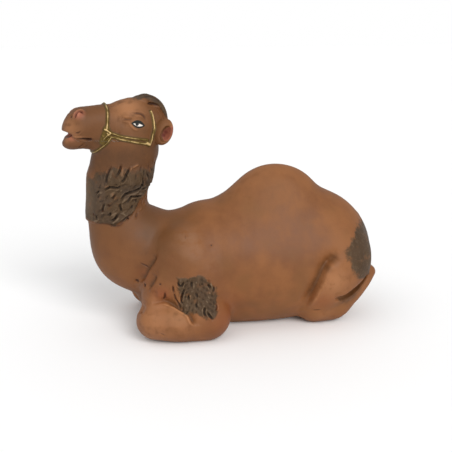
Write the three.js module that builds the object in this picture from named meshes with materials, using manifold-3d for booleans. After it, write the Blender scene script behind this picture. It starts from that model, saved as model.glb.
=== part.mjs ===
// A small lying camel of fired clay, one solid piece, in millimetres.
// The camel looks along -X, its left side faces -Y, and its underside is the plane z = 0.
// The form is built as a modeller would: lumps and rolls of clay are pressed together with soft
// seams, then lines are cut in and strips are laid on. That form is a distance function, negative
// inside the clay. Marching cubes turn it into faces, thinning leaves small faces where it curves.

import * as THREE from 'three';
import Module from 'manifold-3d';
import { edgeTable, triTable } from 'three/addons/objects/MarchingCubes.js';
import { mergeVertices } from 'three/addons/utils/BufferGeometryUtils.js';

// Driving dimensions, mm and degrees

const BARREL_RADIUS = 27.5;
const BARREL_FLATTENING = 0.94;
const HUMP_TOP = 71;
const HUMP_X = 22;
const NECK_X = - 47.5;
const NECK_WIDTH = 0.86;
const HEAD_YAW = 12;
const HEAD_PIVOT_X = - 38;
const HEAD_Z = 91;
const SKULL_RADIUS = 10.5;
const MUZZLE_X = - 60;
const SHIN_RADIUS = 8.8;
const SHIN_Y = 22.5;
const STIFLE_RADIUS = 8.2;
const STIFLE_Y = 11.5;
const STRAP_WIDTH = 1.3;
const STRAP_HEIGHT = 0.9;
const RUFF_HEIGHT = 0.8;
const RUFF_TOP = 72.5;
const RUFF_FRONT = 49;
const RUFF_NAPE = 65;
const LOCK_WIDTH = 2.5;
const LOCK_HEIGHT = 0.7;
const CUT_WIDTH = 1.7;
const CUT_DEPTH = 1.1;
const NOSTRIL = [ 1.2, - 1.1 ];
const MOUTH = [ 1.3, - 1.4 ];
const CREASE_WIDTH = 2.6;
const CREASE_DEPTH = 1.9;
const SUNK = 0.25;
const GROUND_BOX = 200;
const SHIFT_X = 0.89;

// Grid steps where the clay is finely worked and where it is plain, and the faces that are kept

const FINE = 0.8;
const MIDDLING = 1.25;
const PLAIN = 1.8;
const FACES = 9400;
const HEAD_CARE = 10;

// Soft joins

const softMin = ( a, b, k ) => {

	const h = Math.max( k - Math.abs( a - b ), 0 );
	return Math.min( a, b ) - h * h / ( 4 * k );

};

const softMax = ( a, b, k ) => - softMin( - a, - b, k );

// A lump is an ellipsoid, turned about its own middle

function lump( [ cx, cy, cz ], [ rx, ry, rz ], turn = [ 0, 0, 0 ] ) {

	const angles = turn.map( THREE.MathUtils.degToRad );
	const m = new THREE.Matrix4().makeRotationFromEuler( new THREE.Euler( ...angles ) ).transpose().elements;

	return ( x, y, z ) => {

		const dx = x - cx;
		const dy = y - cy;
		const dz = z - cz;
		const u = m[ 0 ] * dx + m[ 4 ] * dy + m[ 8 ] * dz;
		const v = m[ 1 ] * dx + m[ 5 ] * dy + m[ 9 ] * dz;
		const w = m[ 2 ] * dx + m[ 6 ] * dy + m[ 10 ] * dz;
		const near = Math.hypot( u / rx, v / ry, w / rz );
		const steep = Math.hypot( u / ( rx * rx ), v / ( ry * ry ), w / ( rz * rz ) );
		return near * ( near - 1 ) / Math.max( steep, 1e-6 );

	};

}

// A roll is a rounded bar along a curve. Each station is x, y, z and radius

function roll( stations, flattening = 1, steps = 5 ) {

	const curve = new THREE.CatmullRomCurve3( stations.map( ( [ x, y, z ] ) => new THREE.Vector3( x, y, z ) ) );
	const radii = new THREE.CatmullRomCurve3( stations.map( ( [ , , , r ] ) => new THREE.Vector3( r, 0, 0 ) ) );
	const count = ( stations.length - 1 ) * steps;
	const path = [];
	for ( let i = 0; i <= count; i ++ ) {

		const p = curve.getPoint( i / count );
		path.push( [ p.x, p.y / flattening, p.z, radii.getPoint( i / count ).x ] );

	}

	return ( x, y, z ) => {

		const v = y / flattening;
		let best = Infinity;
		for ( let i = 0; i < count; i ++ ) {

			const a = path[ i ];
			const b = path[ i + 1 ];
			const ex = b[ 0 ] - a[ 0 ];
			const ey = b[ 1 ] - a[ 1 ];
			const ez = b[ 2 ] - a[ 2 ];
			const px = x - a[ 0 ];
			const py = v - a[ 1 ];
			const pz = z - a[ 2 ];
			const along = ( px * ex + py * ey + pz * ez ) / ( ex * ex + ey * ey + ez * ez + 1e-9 );
			const t = Math.min( Math.max( along, 0 ), 1 );
			const d = Math.hypot( px - t * ex, py - t * ey, pz - t * ez ) - a[ 3 ] - t * ( b[ 3 ] - a[ 3 ] );
			best = Math.min( best, d );

		}

		return best * Math.min( flattening, 1 );

	};

}

// Masses pressed together: each entry is a distance function and the softness of its seam

const pressed = ( masses ) => ( x, y, z ) => {

	let d = Infinity;
	for ( const [ mass, softness ] of masses ) d = softMin( d, mass( x, y, z ), softness );
	return d;

};

// Body, legs and neck. Both sides are alike, so they are read with y folded onto one side

const torso = [
	[ roll( [
		[ - 25, 0, 27.6, 16.8 ],
		[ - 7, 0, 29.3, 26.2 ],
		[ 20, 0, 27.5, BARREL_RADIUS ],
		[ 38, 0, 27.5, BARREL_RADIUS - 0.2 ],
		[ 44, 0, 28, 21 ],
	], BARREL_FLATTENING ), 6 ],
	[ lump( [ 6, 0, 12 ], [ 46, 17, 13.5 ] ), 4 ],
	[ lump( [ HUMP_X, 0, HUMP_TOP - 28 ], [ 25.2, 17, 28 ] ), 9 ],
	[ lump( [ 43.3, 0, 31.5 ], [ 21.7, 21, 25.3 ] ), 6 ],
	[ lump( [ - 39.3, 0, 35.3 ], [ 20.5, 16.5, 18.9 ], [ 0, 24, 0 ] ), 8 ],
	[ lump( [ - 21, 12.3, 30.5 ], [ 12, 10.5, 15.5 ], [ 0, - 10, 0 ] ), 6 ],
];

const foreleg = [
	[ roll( [
		[ - 34.4, SHIN_Y - 1.5, SHIN_RADIUS + 0.3, SHIN_RADIUS - 0.5 ],
		[ - 24, SHIN_Y, SHIN_RADIUS - SUNK, SHIN_RADIUS ],
		[ - 12.5, SHIN_Y, SHIN_RADIUS - SUNK, SHIN_RADIUS ],
	] ), 1.5 ],
	[ roll( [
		[ - 22, 13, 34, 13 ],
		[ - 29, 15.5, 25, 10 ],
		[ - 32.8, 16.5, 19, 7.2 ],
	] ), 4 ],
	[ roll( [
		[ - 17, 14, 32, 11 ],
		[ - 14.6, 18, 20, 10.2 ],
		[ - 11.8, 20.8, 11, 9.1 ],
	] ), 5 ],
	[ lump( [ - 24, 16, 23 ], [ 8, 9.5, 10 ] ), 4 ],
];

const hindLeg = [
	[ lump( [ 46, 13.7, 27 ], [ 16.5, 11.8, 18.5 ], [ 0, 25, 0 ] ), 5 ],
	[ roll( [
		[ 45, 15, 30, 9 ],
		[ 41, 15, 18, 8.5 ],
		[ 39, STIFLE_Y + 1, STIFLE_RADIUS + 1 - SUNK, STIFLE_RADIUS ],
	] ), 4 ],
	[ roll( [
		[ 39, STIFLE_Y, STIFLE_RADIUS - SUNK, STIFLE_RADIUS ],
		[ 47.5, STIFLE_Y + 1, 7.2, 6.6 ],
		[ 54.8, 12.5, 10.6, 3.9 ],
		[ 61.3, 10.6, 16.9, 3.7 ],
		[ 64.7, 9.5, 21.2, 3.2 ],
	] ), 2 ],
];

const hockGap = roll( [
	[ 45.5, 24, 14.3, 1 ],
	[ 50, 22.5, 13.8, 2 ],
	[ 54.5, 20, 16, 2.8 ],
	[ 60, 15.5, 20.8, 2.6 ],
], 2.4 );

const neck = roll( [
	[ - 40, 0, 37, 16.5 ],
	[ NECK_X, 0, 48, 13.2 ],
	[ NECK_X - 0.2, 0, 60, 12.7 ],
	[ NECK_X + 1.2, 0, 70, 13.2 ],
	[ NECK_X + 4.3, 0, 80, 13.6 ],
], NECK_WIDTH );

// Head, in its own frame: it looks along -X before it is turned to its left

const head = [
	[ lump( [ HEAD_PIVOT_X - 0.5, 0, HEAD_Z ], [ 11, SKULL_RADIUS - 1, SKULL_RADIUS - 0.6 ] ), 4 ],
	[ roll( [
		[ MUZZLE_X - 1, 0, 91.8, 6.8 ],
		[ - 50, 0, 91.5, 8.1 ],
		[ - 42, 0, 91.3, 9.5 ],
	], 1 ), 3 ],
	[ lump( [ - 62.6, 0, 90.3 ], [ 7.8, 6.8, 6 ], [ 0, - 25, 0 ] ), 3 ],
	[ roll( [
		[ - 62, 0, 85.2, 3.8 ],
		[ - 54, 0, 86.2, 6.4 ],
		[ - 44, 0, 84.6, 9.2 ],
	], 1 ), 3 ],
	[ lump( [ - 65.2, 0, 84.3 ], [ 5.1, 4.8, 3 ], [ 0, - 8, 0 ] ), 1.2 ],
	[ lump( [ - 43.5, 5, 86 ], [ 9, 5.6, 8.5 ] ), 4 ],
	[ lump( [ - 41, 6.3, 95.6 ], [ 6.5, 3.4, 2.6 ], [ 0, 8, 0 ] ), 2 ],
	[ lump( [ - 62.6, 4, 94.2 ], [ 3.2, 2.4, 2.3 ], [ 0, - 25, 0 ] ), 1.6 ],
];

const lipGap = lump( [ - 70.5, 0, 87.7 ], [ 4.8, 8, 1.5 ] );
const eyeball = lump( [ - 40.8, 8.8, 91.6 ], [ 2.4, 1.7, 1.7 ] );
const lids = lump( [ - 40.8, 8.2, 91.8 ], [ 3.5, 1.7, 2.7 ], [ 0, 12, 0 ] );
const ear = lump( [ - 29.6, 9.1, 87.7 ], [ 3.9, 3.8, 5.7 ], [ 0, 20, - 25 ] );
const earCup = lump( [ - 29.1, 12.8, 86.9 ], [ 2.3, 4.2, 3.8 ], [ 0, 20, - 25 ] );

const forelock = pressed( [ - 3, 0, 3 ].map( ( y ) => [ roll( [
	[ - 37.5, y * 0.8, 100.4, 1.6 ],
	[ - 33.5, y, 100.6, 2 ],
	[ - 30, y, 98.2, 2.1 ],
	[ - 28, y * 0.9, 95.2, 1.9 ],
	[ - 27.2, y * 0.9, 92, 1.7 ],
] ), 0.8 ] ) );

const bodyForm = pressed( [ ...torso, ...foreleg, ...hindLeg ] );
const headForm = pressed( head );

// Lines that follow the surface. Their points are moved onto the form first

function settle( form, point ) {

	const p = point.clone();
	const step = 0.05;
	for ( let i = 0; i < 12; i ++ ) {

		const d = form( p.x, p.y, p.z );
		const slope = new THREE.Vector3(
			form( p.x + step, p.y, p.z ) - d,
			form( p.x, p.y + step, p.z ) - d,
			form( p.x, p.y, p.z + step ) - d,
		).divideScalar( step );
		p.addScaledVector( slope, - d / Math.max( slope.lengthSq(), 0.2 ) );

	}

	return p;

}

// A line raised from the form, or sunk into it when its height is negative

function line( form, points, width, height ) {

	const through = points.map( ( p ) => settle( form, new THREE.Vector3( ...p ) ) );
	const curve = new THREE.CatmullRomCurve3( through );
	const path = curve.getSpacedPoints( Math.ceil( curve.getLength() ) ).map( ( p ) => settle( form, p ) );
	const box = new THREE.Box3().setFromPoints( path ).expandByScalar( width );
	const nearest = new THREE.Vector3();
	const spot = new THREE.Vector3();
	const spans = path.slice( 1 ).map( ( p, i ) => new THREE.Line3( path[ i ], p ) );

	return ( x, y, z ) => {

		if ( ! box.containsPoint( spot.set( x, y, z ) ) ) return 0;
		let best = Infinity;
		for ( const span of spans )
			best = Math.min( best, span.closestPointToPoint( spot, true, nearest ).distanceToSquared( spot ) );
		return height * THREE.MathUtils.smoothstep( width - Math.sqrt( best ), 0, width );

	};

}

const relief = ( lines ) => ( x, y, z ) => {

	let up = 0;
	let down = 0;
	for ( const height of lines ) {

		const h = height( x, y, z );
		up = Math.max( up, h );
		down = Math.min( down, h );

	}

	return up + down;

};

// Bridle: nose band, cheek strap of two strands, head strap and jaw strap, with a knot at the lips

const strap = ( points ) => line( headForm, points, STRAP_WIDTH, STRAP_HEIGHT );
const knot = ( x, z, size ) => {

	const ends = [ [ x, 9, z + size / 3 ], [ x, 9, z - size / 3 ] ];
	return line( headForm, ends, size, 1.7 * STRAP_HEIGHT );

};

const bridle = [
	strap( [ [ - 52.7, 0, 99 ], [ - 52.4, 5, 97.6 ], [ - 52.6, 7, 95.1 ], [ - 53.4, 8, 90 ] ] ),
	strap( [ [ - 52, 8, 86.8 ], [ - 53.6, 7, 83.9 ], [ - 55.2, 5, 82.3 ], [ - 57, 0, 80 ] ] ),
	strap( [ [ - 51.4, 8, 88 ], [ - 47, 9, 87 ], [ - 42.5, 10, 86.1 ], [ - 37, 10, 84.8 ] ] ),
	strap( [ [ - 51.8, 8, 86.6 ], [ - 47, 9, 85.2 ], [ - 42.5, 10, 84.2 ], [ - 37, 10, 83 ] ] ),
	strap( [ [ - 36.2, 10, 84 ], [ - 34.4, 10, 88.6 ], [ - 34, 10, 92 ], [ - 34.2, 8, 96.2 ] ] ),
	knot( - 53.2, 88.4, 2.6 ),
	knot( - 36.8, 83.8, 2.1 ),
];

const face = [
	line( headForm, [ [ - 65, 5, 95.4 ], [ - 64.2, 5, 96.8 ], [ - 62.6, 5, 97 ], [ - 62, 5, 95.8 ] ], ...NOSTRIL ),
	line( headForm, [ [ - 59.3, 7, 85.7 ], [ - 63, 6, 86.6 ], [ - 67.5, 3, 87.4 ] ], ...MOUTH ),
];

const headRelief = relief( [ ...bridle, ...face ] );

// Ruff of hair round the neck: a raised collar, with swelling locks and the curved cuts that part them.
// Stations are angles round the neck from its front, in degrees, and heights

const ruffEdge = ( angle ) => RUFF_FRONT + ( RUFF_NAPE - RUFF_FRONT ) * ( ( 1 - Math.cos( angle ) ) / 2 ) ** 4;

const ruffLine = ( stations, width, height ) => line( neck, stations.map( ( [ turn, z ] ) => {

	const angle = THREE.MathUtils.degToRad( turn );
	return [ NECK_X - 14 * Math.cos( angle ), 12 * Math.sin( angle ), z ];

} ), width, height );

const lockRelief = relief( [
	...[
		[ [ 87, 73 ], [ 85, 69.5 ] ],
		[ [ 109, 73 ], [ 101, 69.5 ] ],
		[ [ 119, 68.5 ], [ 115, 64.5 ] ],
		[ [ 55, 61.8 ], [ 73, 63.6 ], [ 95, 64.2 ] ],
		[ [ 106, 60.6 ], [ 102, 57 ], [ 106, 54.6 ] ],
		[ [ 142, 63.5 ], [ 129, 62.8 ] ],
		[ [ 69, 60 ], [ 66, 57.2 ] ],
		[ [ 83, 59.6 ], [ 85, 56.4 ] ],
		[ [ 95, 53.4 ], [ 87, 51.4 ] ],
		[ [ 161, 71 ], [ 152, 67.5 ] ],
		[ [ 32, 62 ], [ 27, 56 ] ],
	].map( ( stations ) => ruffLine( stations, LOCK_WIDTH, LOCK_HEIGHT ) ),
	...[
		[ [ 74, 74.3 ], [ 77, 71.7 ], [ 74, 69.7 ] ],
		[ [ 102, 74.8 ], [ 96, 72.8 ], [ 91, 70.6 ] ],
		[ [ 119, 74.7 ], [ 107, 70.3 ], [ 89, 67.1 ] ],
		[ [ 65, 64 ], [ 84, 65.8 ], [ 101, 67.6 ] ],
		[ [ 126, 64.2 ], [ 106, 62.8 ], [ 95, 59.5 ] ],
		[ [ 149, 61.9 ], [ 124, 61.3 ], [ 114, 60.2 ] ],
		[ [ 133, 68.8 ], [ 136, 66.8 ], [ 124, 64.2 ] ],
		[ [ 99, 60.8 ], [ 92, 57.7 ], [ 94, 55.4 ] ],
		[ [ 103, 52.3 ], [ 115, 53.6 ], [ 125, 55.4 ] ],
		[ [ 81, 60.5 ], [ 75, 58 ], [ 77, 55 ] ],
		[ [ 167, 72.2 ], [ 159, 68.1 ] ],
	].map( ( stations ) => ruffLine( stations, CUT_WIDTH, - CUT_DEPTH ) ),
] );

function ruffHeight( x, y, z ) {

	const angle = Math.atan2( Math.abs( y ), NECK_X - x );
	const low = ruffEdge( angle );
	if ( z < low || z > RUFF_TOP ) return 0;
	const rise = THREE.MathUtils.smoothstep( z - low, 0, 1.5 );
	const collar = rise * THREE.MathUtils.smoothstep( RUFF_TOP - z, 0, 6 );
	return RUFF_HEIGHT * collar + lockRelief( x, Math.abs( y ), z );

}

// Tuft of hair on each foreleg, above the shin

const legTuft = relief( [ 0, 1, 2 ].flatMap( ( column ) => [ 0, 1, 2 ].map( ( row ) => {

	const x = - 22 + 4.4 * column + 1.6 * ( row % 2 );
	const z = 26.5 - 5.8 * row - 0.8 * column;
	const stations = [ [ x, 27, z + 2.2 ], [ x + 0.9, 28, z ], [ x + 0.2, 28, z - 2.6 ] ];
	return line( bodyForm, stations, LOCK_WIDTH, 0.9 * LOCK_HEIGHT );

} ) ) );

// Crease in front of each thigh, pressed in deeper at its top, and the ridge of the thigh behind it

const crease = [ [ 43, 24, 34.5 ], [ 40.6, 25, 30 ], [ 35.5, 25, 21 ], [ 30, 22, 11 ] ];
const creaseTop = [ [ 43.6, 24, 34 ], [ 41.8, 25, 31.4 ] ];
const thighRidge = [ [ 44.6, 25, 27 ], [ 40.2, 25, 20.6 ], [ 36, 23, 14.5 ] ];

const thighRelief = relief( [
	line( bodyForm, crease, CREASE_WIDTH, - CREASE_DEPTH ),
	line( bodyForm, creaseTop, 1.4 * CREASE_WIDTH, - 1.2 * CREASE_DEPTH ),
	line( bodyForm, thighRidge, 2 * CREASE_WIDTH, 0.5 * CREASE_DEPTH ),
] );

// The whole form

const yaw = THREE.MathUtils.degToRad( HEAD_YAW );

function headDistance( x, y, z ) {

	const fold = Math.abs( y );
	let d = headForm( x, fold, z );
	if ( Math.abs( d ) < 3 ) d -= headRelief( x, fold, z );
	d = softMax( d, - lipGap( x, fold, z ), 0.6 );
	d = softMin( d, lids( x, fold, z ), 1 );
	d = softMin( d, eyeball( x, fold, z ), 0.3 );
	d = softMin( d, forelock( x, y, z ), 1 );
	d = softMin( d, ear( x, fold, z ), 2.5 );
	return softMax( d, - earCup( x, fold, z ), 0.6 );

}

function clay( x, y, z ) {

	const fold = Math.abs( y );
	const dx = x - HEAD_PIVOT_X;
	const hx = HEAD_PIVOT_X + dx * Math.cos( yaw ) + y * Math.sin( yaw );
	const hy = - dx * Math.sin( yaw ) + y * Math.cos( yaw );
	let body = bodyForm( x, fold, z );
	if ( Math.abs( body ) < 3 ) body -= legTuft( x, fold, z ) + thighRelief( x, fold, z );
	body = softMax( body, - hockGap( x, fold, z ), 1 );
	let throat = neck( x, fold, z );
	if ( Math.abs( throat ) < 3 ) throat -= ruffHeight( x, y, z );
	return softMin( softMin( body, throat, 5 ), headDistance( hx, hy, z ), 3 );

}

// Marching cubes, on a grid that is finer where the clay is finely worked

function ticks( ...stretches ) {

	const list = [ stretches[ 0 ][ 0 ] ];
	for ( const [ from, to, step ] of stretches ) {

		const count = Math.round( ( to - from ) / step );
		for ( let i = 1; i <= count; i ++ ) list.push( from + ( to - from ) * i / count );

	}

	return list;

}

const grid = [
	ticks( [ - 74, - 24, FINE ], [ - 24, - 7, MIDDLING ], [ - 7, 26, PLAIN ], [ 26, 74, MIDDLING ] ),
	ticks( [ - 35, - 17, MIDDLING ], [ - 17, 17, FINE ], [ 17, 35, MIDDLING ] ),
	ticks( [ - 2.5, 8, PLAIN ], [ 8, 32, MIDDLING ], [ 32, 46, PLAIN ], [ 46, 76, MIDDLING ], [ 76, 106, FINE ] ),
];

const CORNERS = [
	[ 0, 0, 0 ], [ 1, 0, 0 ], [ 1, 1, 0 ], [ 0, 1, 0 ],
	[ 0, 0, 1 ], [ 1, 0, 1 ], [ 1, 1, 1 ], [ 0, 1, 1 ],
];
const EDGES = [
	[ 0, 1 ], [ 1, 2 ], [ 2, 3 ], [ 3, 0 ],
	[ 4, 5 ], [ 5, 6 ], [ 6, 7 ], [ 7, 4 ],
	[ 0, 4 ], [ 1, 5 ], [ 2, 6 ], [ 3, 7 ],
];
const BLOCK = 4;

// Distances at the grid's nodes. A block of nodes far from the surface takes its middle's distance

function measure( distance, [ xs, ys, zs ] ) {

	const values = new Float64Array( xs.length * ys.length * zs.length );
	for ( let k = 0; k < zs.length; k += BLOCK )
		for ( let j = 0; j < ys.length; j += BLOCK )
			for ( let i = 0; i < xs.length; i += BLOCK ) {

				const ends = [ [ xs, i ], [ ys, j ], [ zs, k ] ].map( ( [ list, from ] ) => {

					const part = list.slice( from, from + BLOCK + 1 );
					return [ part[ 0 ], part[ part.length - 1 ] ];

				} );
				const middle = distance( ...ends.map( ( [ low, high ] ) => ( low + high ) / 2 ) );
				const reach = Math.hypot( ...ends.map( ( [ low, high ] ) => high - low ) );
				for ( let c = k; c < Math.min( k + BLOCK, zs.length ); c ++ )
					for ( let b = j; b < Math.min( j + BLOCK, ys.length ); b ++ )
						for ( let a = i; a < Math.min( i + BLOCK, xs.length ); a ++ )
							values[ ( c * ys.length + b ) * xs.length + a ] =
								Math.abs( middle ) > reach ? middle : distance( xs[ a ], ys[ b ], zs[ c ] );

			}

	return values;

}

function polygonise( distance, axes ) {

	const [ nx, ny, nz ] = axes.map( ( list ) => list.length );
	const values = measure( distance, axes );
	const at = ( [ i, j, k ] ) => ( k * ny + j ) * nx + i;
	const points = [];
	const faces = [];
	const seen = new Map();

	const crossing = ( cell, edge ) => {

		const [ a, b ] = EDGES[ edge ].map( ( corner ) => CORNERS[ corner ].map( ( step, n ) => cell[ n ] + step ) );
		const key = Math.min( at( a ), at( b ) ) * 3 + a.findIndex( ( v, n ) => v !== b[ n ] );
		if ( ! seen.has( key ) ) {

			const t = THREE.MathUtils.clamp( values[ at( a ) ] / ( values[ at( a ) ] - values[ at( b ) ] ), 0.02, 0.98 );
			points.push( axes.map( ( list, n ) => list[ a[ n ] ] + t * ( list[ b[ n ] ] - list[ a[ n ] ] ) ) );
			seen.set( key, points.length - 1 );

		}

		return seen.get( key );

	};

	for ( let k = 0; k < nz - 1; k ++ )
		for ( let j = 0; j < ny - 1; j ++ )
			for ( let i = 0; i < nx - 1; i ++ ) {

				let kind = 0;
				for ( let n = 0; n < 8; n ++ ) {

					const [ a, b, c ] = CORNERS[ n ];
					if ( values[ ( ( k + c ) * ny + j + b ) * nx + i + a ] > 0 ) kind |= 1 << n;

				}

				if ( edgeTable[ kind ] === 0 ) continue;
				for ( let n = kind * 16; triTable[ n ] !== - 1; n += 3 )
					faces.push( [ 0, 1, 2 ].map( ( m ) => crossing( [ i, j, k ], triTable[ n + m ] ) ) );

			}

	return { points, faces };

}

// Thinning: the edge whose loss moves the surface least goes first. Each point carries the sum of
// the squared distances to the planes of its faces, as the ten terms of a symmetric 4 x 4 matrix

const TERMS = [ [ 0, 0 ], [ 0, 1 ], [ 0, 2 ], [ 0, 3 ], [ 1, 1 ], [ 1, 2 ], [ 1, 3 ], [ 2, 2 ], [ 2, 3 ], [ 3, 3 ] ];

const error = ( q, [ x, y, z ] ) =>
	q[ 0 ] * x * x + q[ 4 ] * y * y + q[ 7 ] * z * z + q[ 9 ]
	+ 2 * ( q[ 1 ] * x * y + q[ 2 ] * x * z + q[ 5 ] * y * z + q[ 3 ] * x + q[ 6 ] * y + q[ 8 ] * z );

function facePlane( a, b, c ) {

	const u = [ b[ 0 ] - a[ 0 ], b[ 1 ] - a[ 1 ], b[ 2 ] - a[ 2 ] ];
	const v = [ c[ 0 ] - a[ 0 ], c[ 1 ] - a[ 1 ], c[ 2 ] - a[ 2 ] ];
	const n = [ u[ 1 ] * v[ 2 ] - u[ 2 ] * v[ 1 ], u[ 2 ] * v[ 0 ] - u[ 0 ] * v[ 2 ], u[ 0 ] * v[ 1 ] - u[ 1 ] * v[ 0 ] ];
	const size = Math.hypot( ...n );
	const [ x, y, z ] = n.map( ( s ) => s / Math.max( size, 1e-12 ) );
	return { plane: [ x, y, z, - ( x * a[ 0 ] + y * a[ 1 ] + z * a[ 2 ] ) ], area: size / 2 };

}

function thin( { points, faces }, target, care ) {

	const sums = points.map( () => new Float64Array( 10 ) );
	const around = points.map( () => new Set() );
	const stamps = points.map( () => 0 );
	faces.forEach( ( face, f ) => {

		const { plane, area } = facePlane( ...face.map( ( i ) => points[ i ] ) );
		for ( const i of face ) {

			const weight = area * care( points[ i ] );
			TERMS.forEach( ( [ r, c ], n ) => sums[ i ][ n ] += weight * plane[ r ] * plane[ c ] );
			around[ i ].add( f );

		}

	} );

	const neighbours = ( i ) => {

		const set = new Set();
		for ( const f of around[ i ] ) for ( const n of faces[ f ] ) if ( n !== i ) set.add( n );
		return set;

	};

	const merged = ( a, b ) => {

		const q = sums[ a ].map( ( term, n ) => term + sums[ b ][ n ] );
		const places = [ 0, 0.25, 0.5, 0.75, 1 ].map( ( t ) => points[ a ].map( ( v, n ) => v + t * ( points[ b ][ n ] - v ) ) );
		const m = new THREE.Matrix3().set( q[ 0 ], q[ 1 ], q[ 2 ], q[ 1 ], q[ 4 ], q[ 5 ], q[ 2 ], q[ 5 ], q[ 7 ] );
		const length = Math.hypot( ...points[ a ].map( ( v, n ) => v - points[ b ][ n ] ) );
		if ( Math.abs( m.determinant() ) > 1e-7 * q[ 0 ] * q[ 4 ] * q[ 7 ] ) {

			const best = new THREE.Vector3( - q[ 3 ], - q[ 6 ], - q[ 8 ] ).applyMatrix3( m.invert() ).toArray();
			if ( Math.hypot( ...best.map( ( v, n ) => v - places[ 2 ][ n ] ) ) < length ) places.push( best );

		}

		const costs = places.map( ( place ) => error( q, place ) );
		const least = costs.indexOf( Math.min( ...costs ) );
		return { q, place: places[ least ], cost: Math.max( costs[ least ], 0 ) + 1e-4 * length * length };

	};

	const heap = [];
	const push = ( item ) => {

		let i = heap.push( item ) - 1;
		while ( i > 0 && heap[ ( i - 1 ) >> 1 ].cost > item.cost ) {

			heap[ i ] = heap[ ( i - 1 ) >> 1 ];
			i = ( i - 1 ) >> 1;

		}

		heap[ i ] = item;

	};

	const pop = () => {

		const top = heap[ 0 ];
		const last = heap.pop();
		if ( heap.length === 0 ) return top;
		let i = 0;
		for ( ; ; ) {

			let child = 2 * i + 1;
			if ( child >= heap.length ) break;
			if ( child + 1 < heap.length && heap[ child + 1 ].cost < heap[ child ].cost ) child ++;
			if ( heap[ child ].cost >= last.cost ) break;
			heap[ i ] = heap[ child ];
			i = child;

		}

		heap[ i ] = last;
		return top;

	};

	const offer = ( a, b ) => push( { a, b, stamp: stamps[ a ] + stamps[ b ], cost: merged( a, b ).cost } );

	points.forEach( ( point, a ) => {

		for ( const b of neighbours( a ) ) if ( a < b ) offer( a, b );

	} );

	const turnsOver = ( i, others, place ) => {

		for ( const f of around[ i ] ) {

			if ( others.has( f ) ) continue;
			const before = facePlane( ...faces[ f ].map( ( n ) => points[ n ] ) );
			const after = facePlane( ...faces[ f ].map( ( n ) => n === i ? place : points[ n ] ) );
			const facing = [ 0, 1, 2 ].reduce( ( sum, n ) => sum + before.plane[ n ] * after.plane[ n ], 0 );
			if ( facing < 0.3 || after.area < 1e-3 ) return true;

		}

		return false;

	};

	let live = faces.length;
	while ( live > target && heap.length > 0 ) {

		const { a, b, stamp } = pop();
		if ( stamp !== stamps[ a ] + stamps[ b ] || around[ a ].size === 0 || around[ b ].size === 0 ) continue;
		const shared = new Set( [ ...around[ a ] ].filter( ( f ) => around[ b ].has( f ) ) );
		const ring = neighbours( b );
		const common = [ ...neighbours( a ) ].filter( ( n ) => ring.has( n ) );
		if ( shared.size !== 2 || common.length !== 2 ) continue;
		const { q, place } = merged( a, b );
		if ( turnsOver( a, shared, place ) || turnsOver( b, shared, place ) ) continue;

		for ( const f of shared ) for ( const n of faces[ f ] ) around[ n ].delete( f );
		for ( const f of around[ b ] ) {

			faces[ f ] = faces[ f ].map( ( n ) => n === b ? a : n );
			around[ a ].add( f );

		}

		for ( const f of shared ) faces[ f ] = null;
		around[ b ].clear();
		points[ a ] = place;
		sums[ a ] = q;
		stamps[ a ] ++;
		live -= 2;
		for ( const n of neighbours( a ) ) offer( a, n );

	}

	return { points, faces: faces.filter( ( face ) => face !== null ) };

}

// The finished solid: the thinned form, cut flat where it stands

const wasm = await Module();
wasm.setup();

function solid( geometry ) {

	const shell = geometry.clone();
	shell.deleteAttribute( 'normal' );
	shell.deleteAttribute( 'uv' );
	const merged = mergeVertices( shell, 1e-5 );
	return new wasm.Manifold( new wasm.Mesh( {
		numProp: 3,
		vertProperties: Float32Array.from( merged.attributes.position.array ),
		triVerts: Uint32Array.from( merged.index.array ),
	} ) );

}

function surface( { points, faces } ) {

	const geometry = new THREE.BufferGeometry();
	geometry.setAttribute( 'position', new THREE.Float32BufferAttribute( points.flat(), 3 ) );
	geometry.setIndex( faces.flat() );
	return geometry;

}

const headCare = ( [ x, , z ] ) => z > 76 || ( z > 46 && x < - 30 ) ? HEAD_CARE : 1;
const above = new THREE.BoxGeometry( GROUND_BOX, GROUND_BOX, GROUND_BOX ).translate( 0, 0, GROUND_BOX / 2 );
const figureMesh = solid( surface( thin( polygonise( clay, grid ), FACES, headCare ) ) ).intersect( solid( above ) ).getMesh();
const geometry = new THREE.BufferGeometry();
geometry.setAttribute( 'position', new THREE.BufferAttribute( figureMesh.vertProperties, 3 ) );
geometry.setIndex( new THREE.BufferAttribute( figureMesh.triVerts, 1 ) );
geometry.translate( SHIFT_X, 0, 0 );
geometry.computeVertexNormals();

const camel = new THREE.Group();
const figure = new THREE.Mesh( geometry, new THREE.MeshStandardMaterial( { color: 0x8f5d40, roughness: 0.62 } ) );
figure.name = 'camel_figure';
camel.add( figure );

export default camel;
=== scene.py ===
import math

import bpy
import numpy as np
from mathutils import Matrix, Vector
from mathutils.bvhtree import BVHTree


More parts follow.
